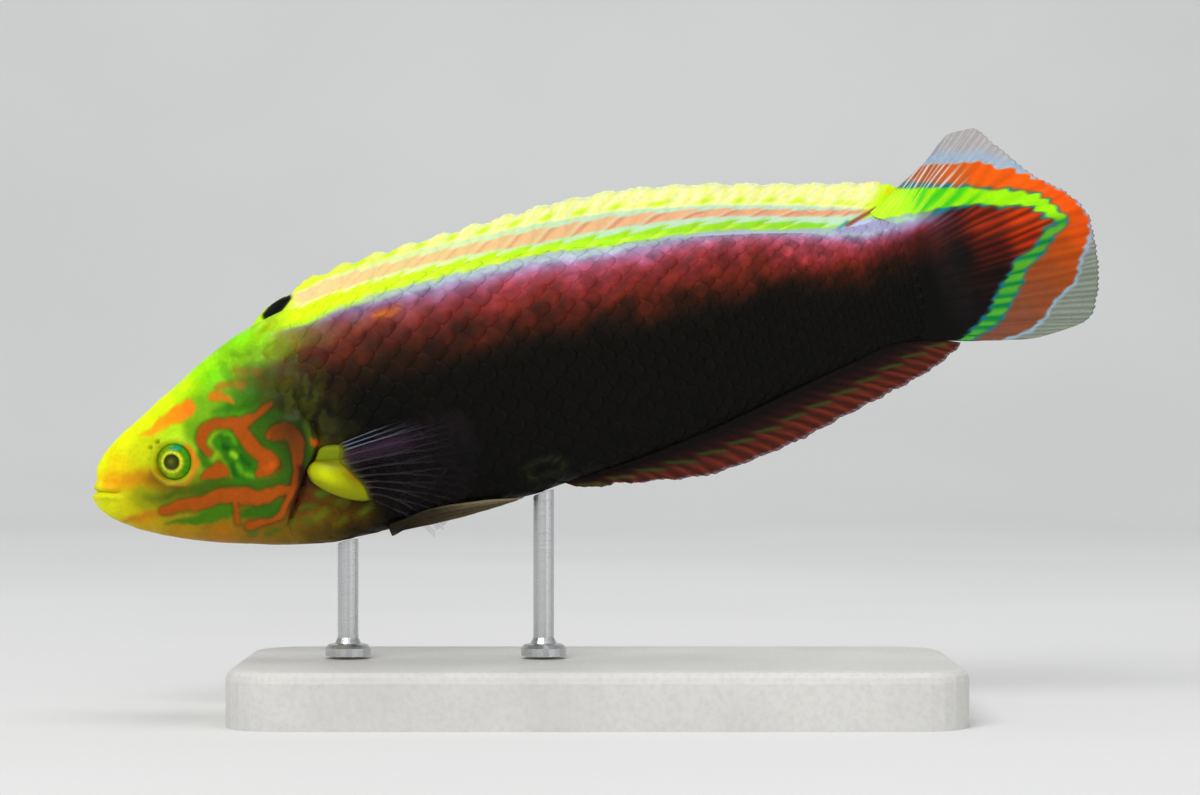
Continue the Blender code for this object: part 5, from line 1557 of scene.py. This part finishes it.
def add_camera_and_lights(settings):
    """The photo's view, three soft lamps and an even pale room."""
    deselect()
    target = np.array((VIEW_MIDDLE[0], 0, VIEW_MIDDLE[1])) * MM
    place = target - (0, VIEW_DISTANCE * MM, 0)
    bpy.ops.object.camera_add(location=place, rotation=aim(place, target))
    camera = bpy.context.object
    camera.data.lens, camera.data.sensor_width = LENS, SENSOR_WIDTH
    camera.data.clip_start, camera.data.clip_end = CLIP
    bpy.context.scene.camera = camera
    for name, place, size, power in LIGHTS:
        deselect()
        bpy.ops.object.light_add(type="AREA", location=place, rotation=aim(place, FISH_MIDDLE))
        lamp = bpy.context.object
        lamp.name = name
        lamp.data.shape = "RECTANGLE"
        lamp.data.size, lamp.data.size_y = size
        lamp.data.energy = settings.key_power if power is None else power
    world = bpy.data.worlds.new("Studio")
    world.use_nodes = True
    room = world.node_tree.nodes["Background"]
    room.inputs[0].default_value, room.inputs[1].default_value = ROOM_TONE, settings.world_light
    bpy.context.scene.world = world
    bpy.context.scene.view_settings.view_transform = "Standard"


# The add-on


class WrasseSettings(bpy.types.PropertyGroup):
    """Light strengths and the plate's colour that a user may change before building."""

    key_power: bpy.props.FloatProperty(
        name="Key light", description="Power of the main light", default=7.0, min=0, unit="POWER"
    )
    world_light: bpy.props.FloatProperty(
        name="Room light", description="Strength of the light from all round", default=0.42, min=0
    )
    plate_tone: bpy.props.FloatVectorProperty(
        name="Plate", description="Tone of the stand's plate", subtype="COLOR", size=4,
        default=(0.66, 0.65, 0.62, 1), min=0, max=1,
    )


class WRASSE_OT_stage(bpy.types.Operator):
    """Adds the floor, the lights and the camera"""

    bl_idname = "wrasse.stage"
    bl_label = "Stage"

    def execute(self, context):
        make_floor()
        add_camera_and_lights(context.scene.wrasse)
        return {"FINISHED"}


class WRASSE_OT_skin(bpy.types.Operator):
    """Builds the skin of the head and trunk in one piece"""

    bl_idname = "wrasse.skin"
    bl_label = "Skin"

    def execute(self, context):
        dress(
            make_skin(), painted("Painted skin"), "body_skin",
            "head", "lower_jaw", "gill_cover_left", "gill_cover_right", "trunk", "tail_stalk",
        )
        return {"FINISHED"}


class WRASSE_OT_scales(bpy.types.Operator):
    """Lays the scales over the trunk"""

    bl_idname = "wrasse.scales"
    bl_label = "Scales"

    def execute(self, context):
        for name, side, seed in (("scales_left", -1, 21), ("scales_right", 1, 22)):
            dress(make_scales(name, side, seed), painted("Scale"), "body_skin")
        return {"FINISHED"}


class WRASSE_OT_fins(bpy.types.Operator):
    """Builds the seven fins"""

    bl_idname = "wrasse.fins"
    bl_label = "Fins"

    def execute(self, context):
        membrane = painted("Fin membrane")
        dress(make_dorsal_fin(), membrane, "fin_membrane", "dorsal_fin")
        dress(make_anal_fin(), membrane, "fin_membrane", "anal_fin")
        dress(make_tail_fin(), membrane, "tail_membrane", "tail_fin")
        for end, side in (("left", -1), ("right", 1)):
            pectoral = make_pectoral_fin(f"pectoral_skin_{end}", side)
            dress(pectoral, membrane, "clear_membrane", f"pectoral_fin_{end}")
            pelvic = make_pelvic_fin(f"pelvic_skin_{end}", side)
            dress(pelvic, membrane, "clear_membrane", f"pelvic_fin_{end}")
        return {"FINISHED"}


class WRASSE_OT_eyes(bpy.types.Operator):
    """Builds the eyeballs and their clear corneas"""

    bl_idname = "wrasse.eyes"
    bl_label = "Eyes"

    def execute(self, context):
        for end, side in (("left", -1), ("right", 1)):
            dress(make_eye(f"eyeball_{end}", side), painted("Iris"), "eye", f"eye_{end}")
            dress(make_cornea(f"cornea_{end}", side), finish("cornea", cornea_material), "eye")
        return {"FINISHED"}


class WRASSE_OT_stand(bpy.types.Operator):
    """Gives the plate and rods of the stand their finishes"""

    bl_idname = "wrasse.stand"
    bl_label = "Stand"

    def execute(self, context):
        plate = finish("plate", plate_material, context.scene.wrasse.plate_tone[:])
        rod = finish("rod", rod_material)
        for name, material in (
            ("stand_base", plate), ("stand_rod_front", rod), ("stand_rod_rear", rod),
        ):
            set_material(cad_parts[name], material)
        return {"FINISHED"}


STEPS = (
    WRASSE_OT_stage, WRASSE_OT_skin, WRASSE_OT_scales, WRASSE_OT_fins, WRASSE_OT_eyes,
    WRASSE_OT_stand,
)


class WRASSE_PT_panel(bpy.types.Panel):
    """Lists the steps of the model"""

    bl_label = "Wrasse"
    bl_idname = "WRASSE_PT_panel"
    bl_space_type = "VIEW_3D"
    bl_region_type = "UI"
    bl_category = "Wrasse"

    def draw(self, context):
        settings = context.scene.wrasse
        for key in ("key_power", "world_light", "plate_tone"):
            self.layout.prop(settings, key)
        for step in STEPS:
            self.layout.operator(step.bl_idname)


CLASSES = (WrasseSettings, *STEPS, WRASSE_PT_panel)


def register():
    for each in CLASSES:
        bpy.utils.register_class(each)
    bpy.types.Scene.wrasse = bpy.props.PointerProperty(type=WrasseSettings)


def unregister():
    del bpy.types.Scene.wrasse
    for each in reversed(CLASSES):
        bpy.utils.unregister_class(each)


def main():
    register()
    bpy.ops.wrasse.stage()
    bpy.ops.wrasse.skin()
    bpy.ops.wrasse.scales()
    bpy.ops.wrasse.fins()
    bpy.ops.wrasse.eyes()
    bpy.ops.wrasse.stand()


if __name__ == "__main__":
    main()
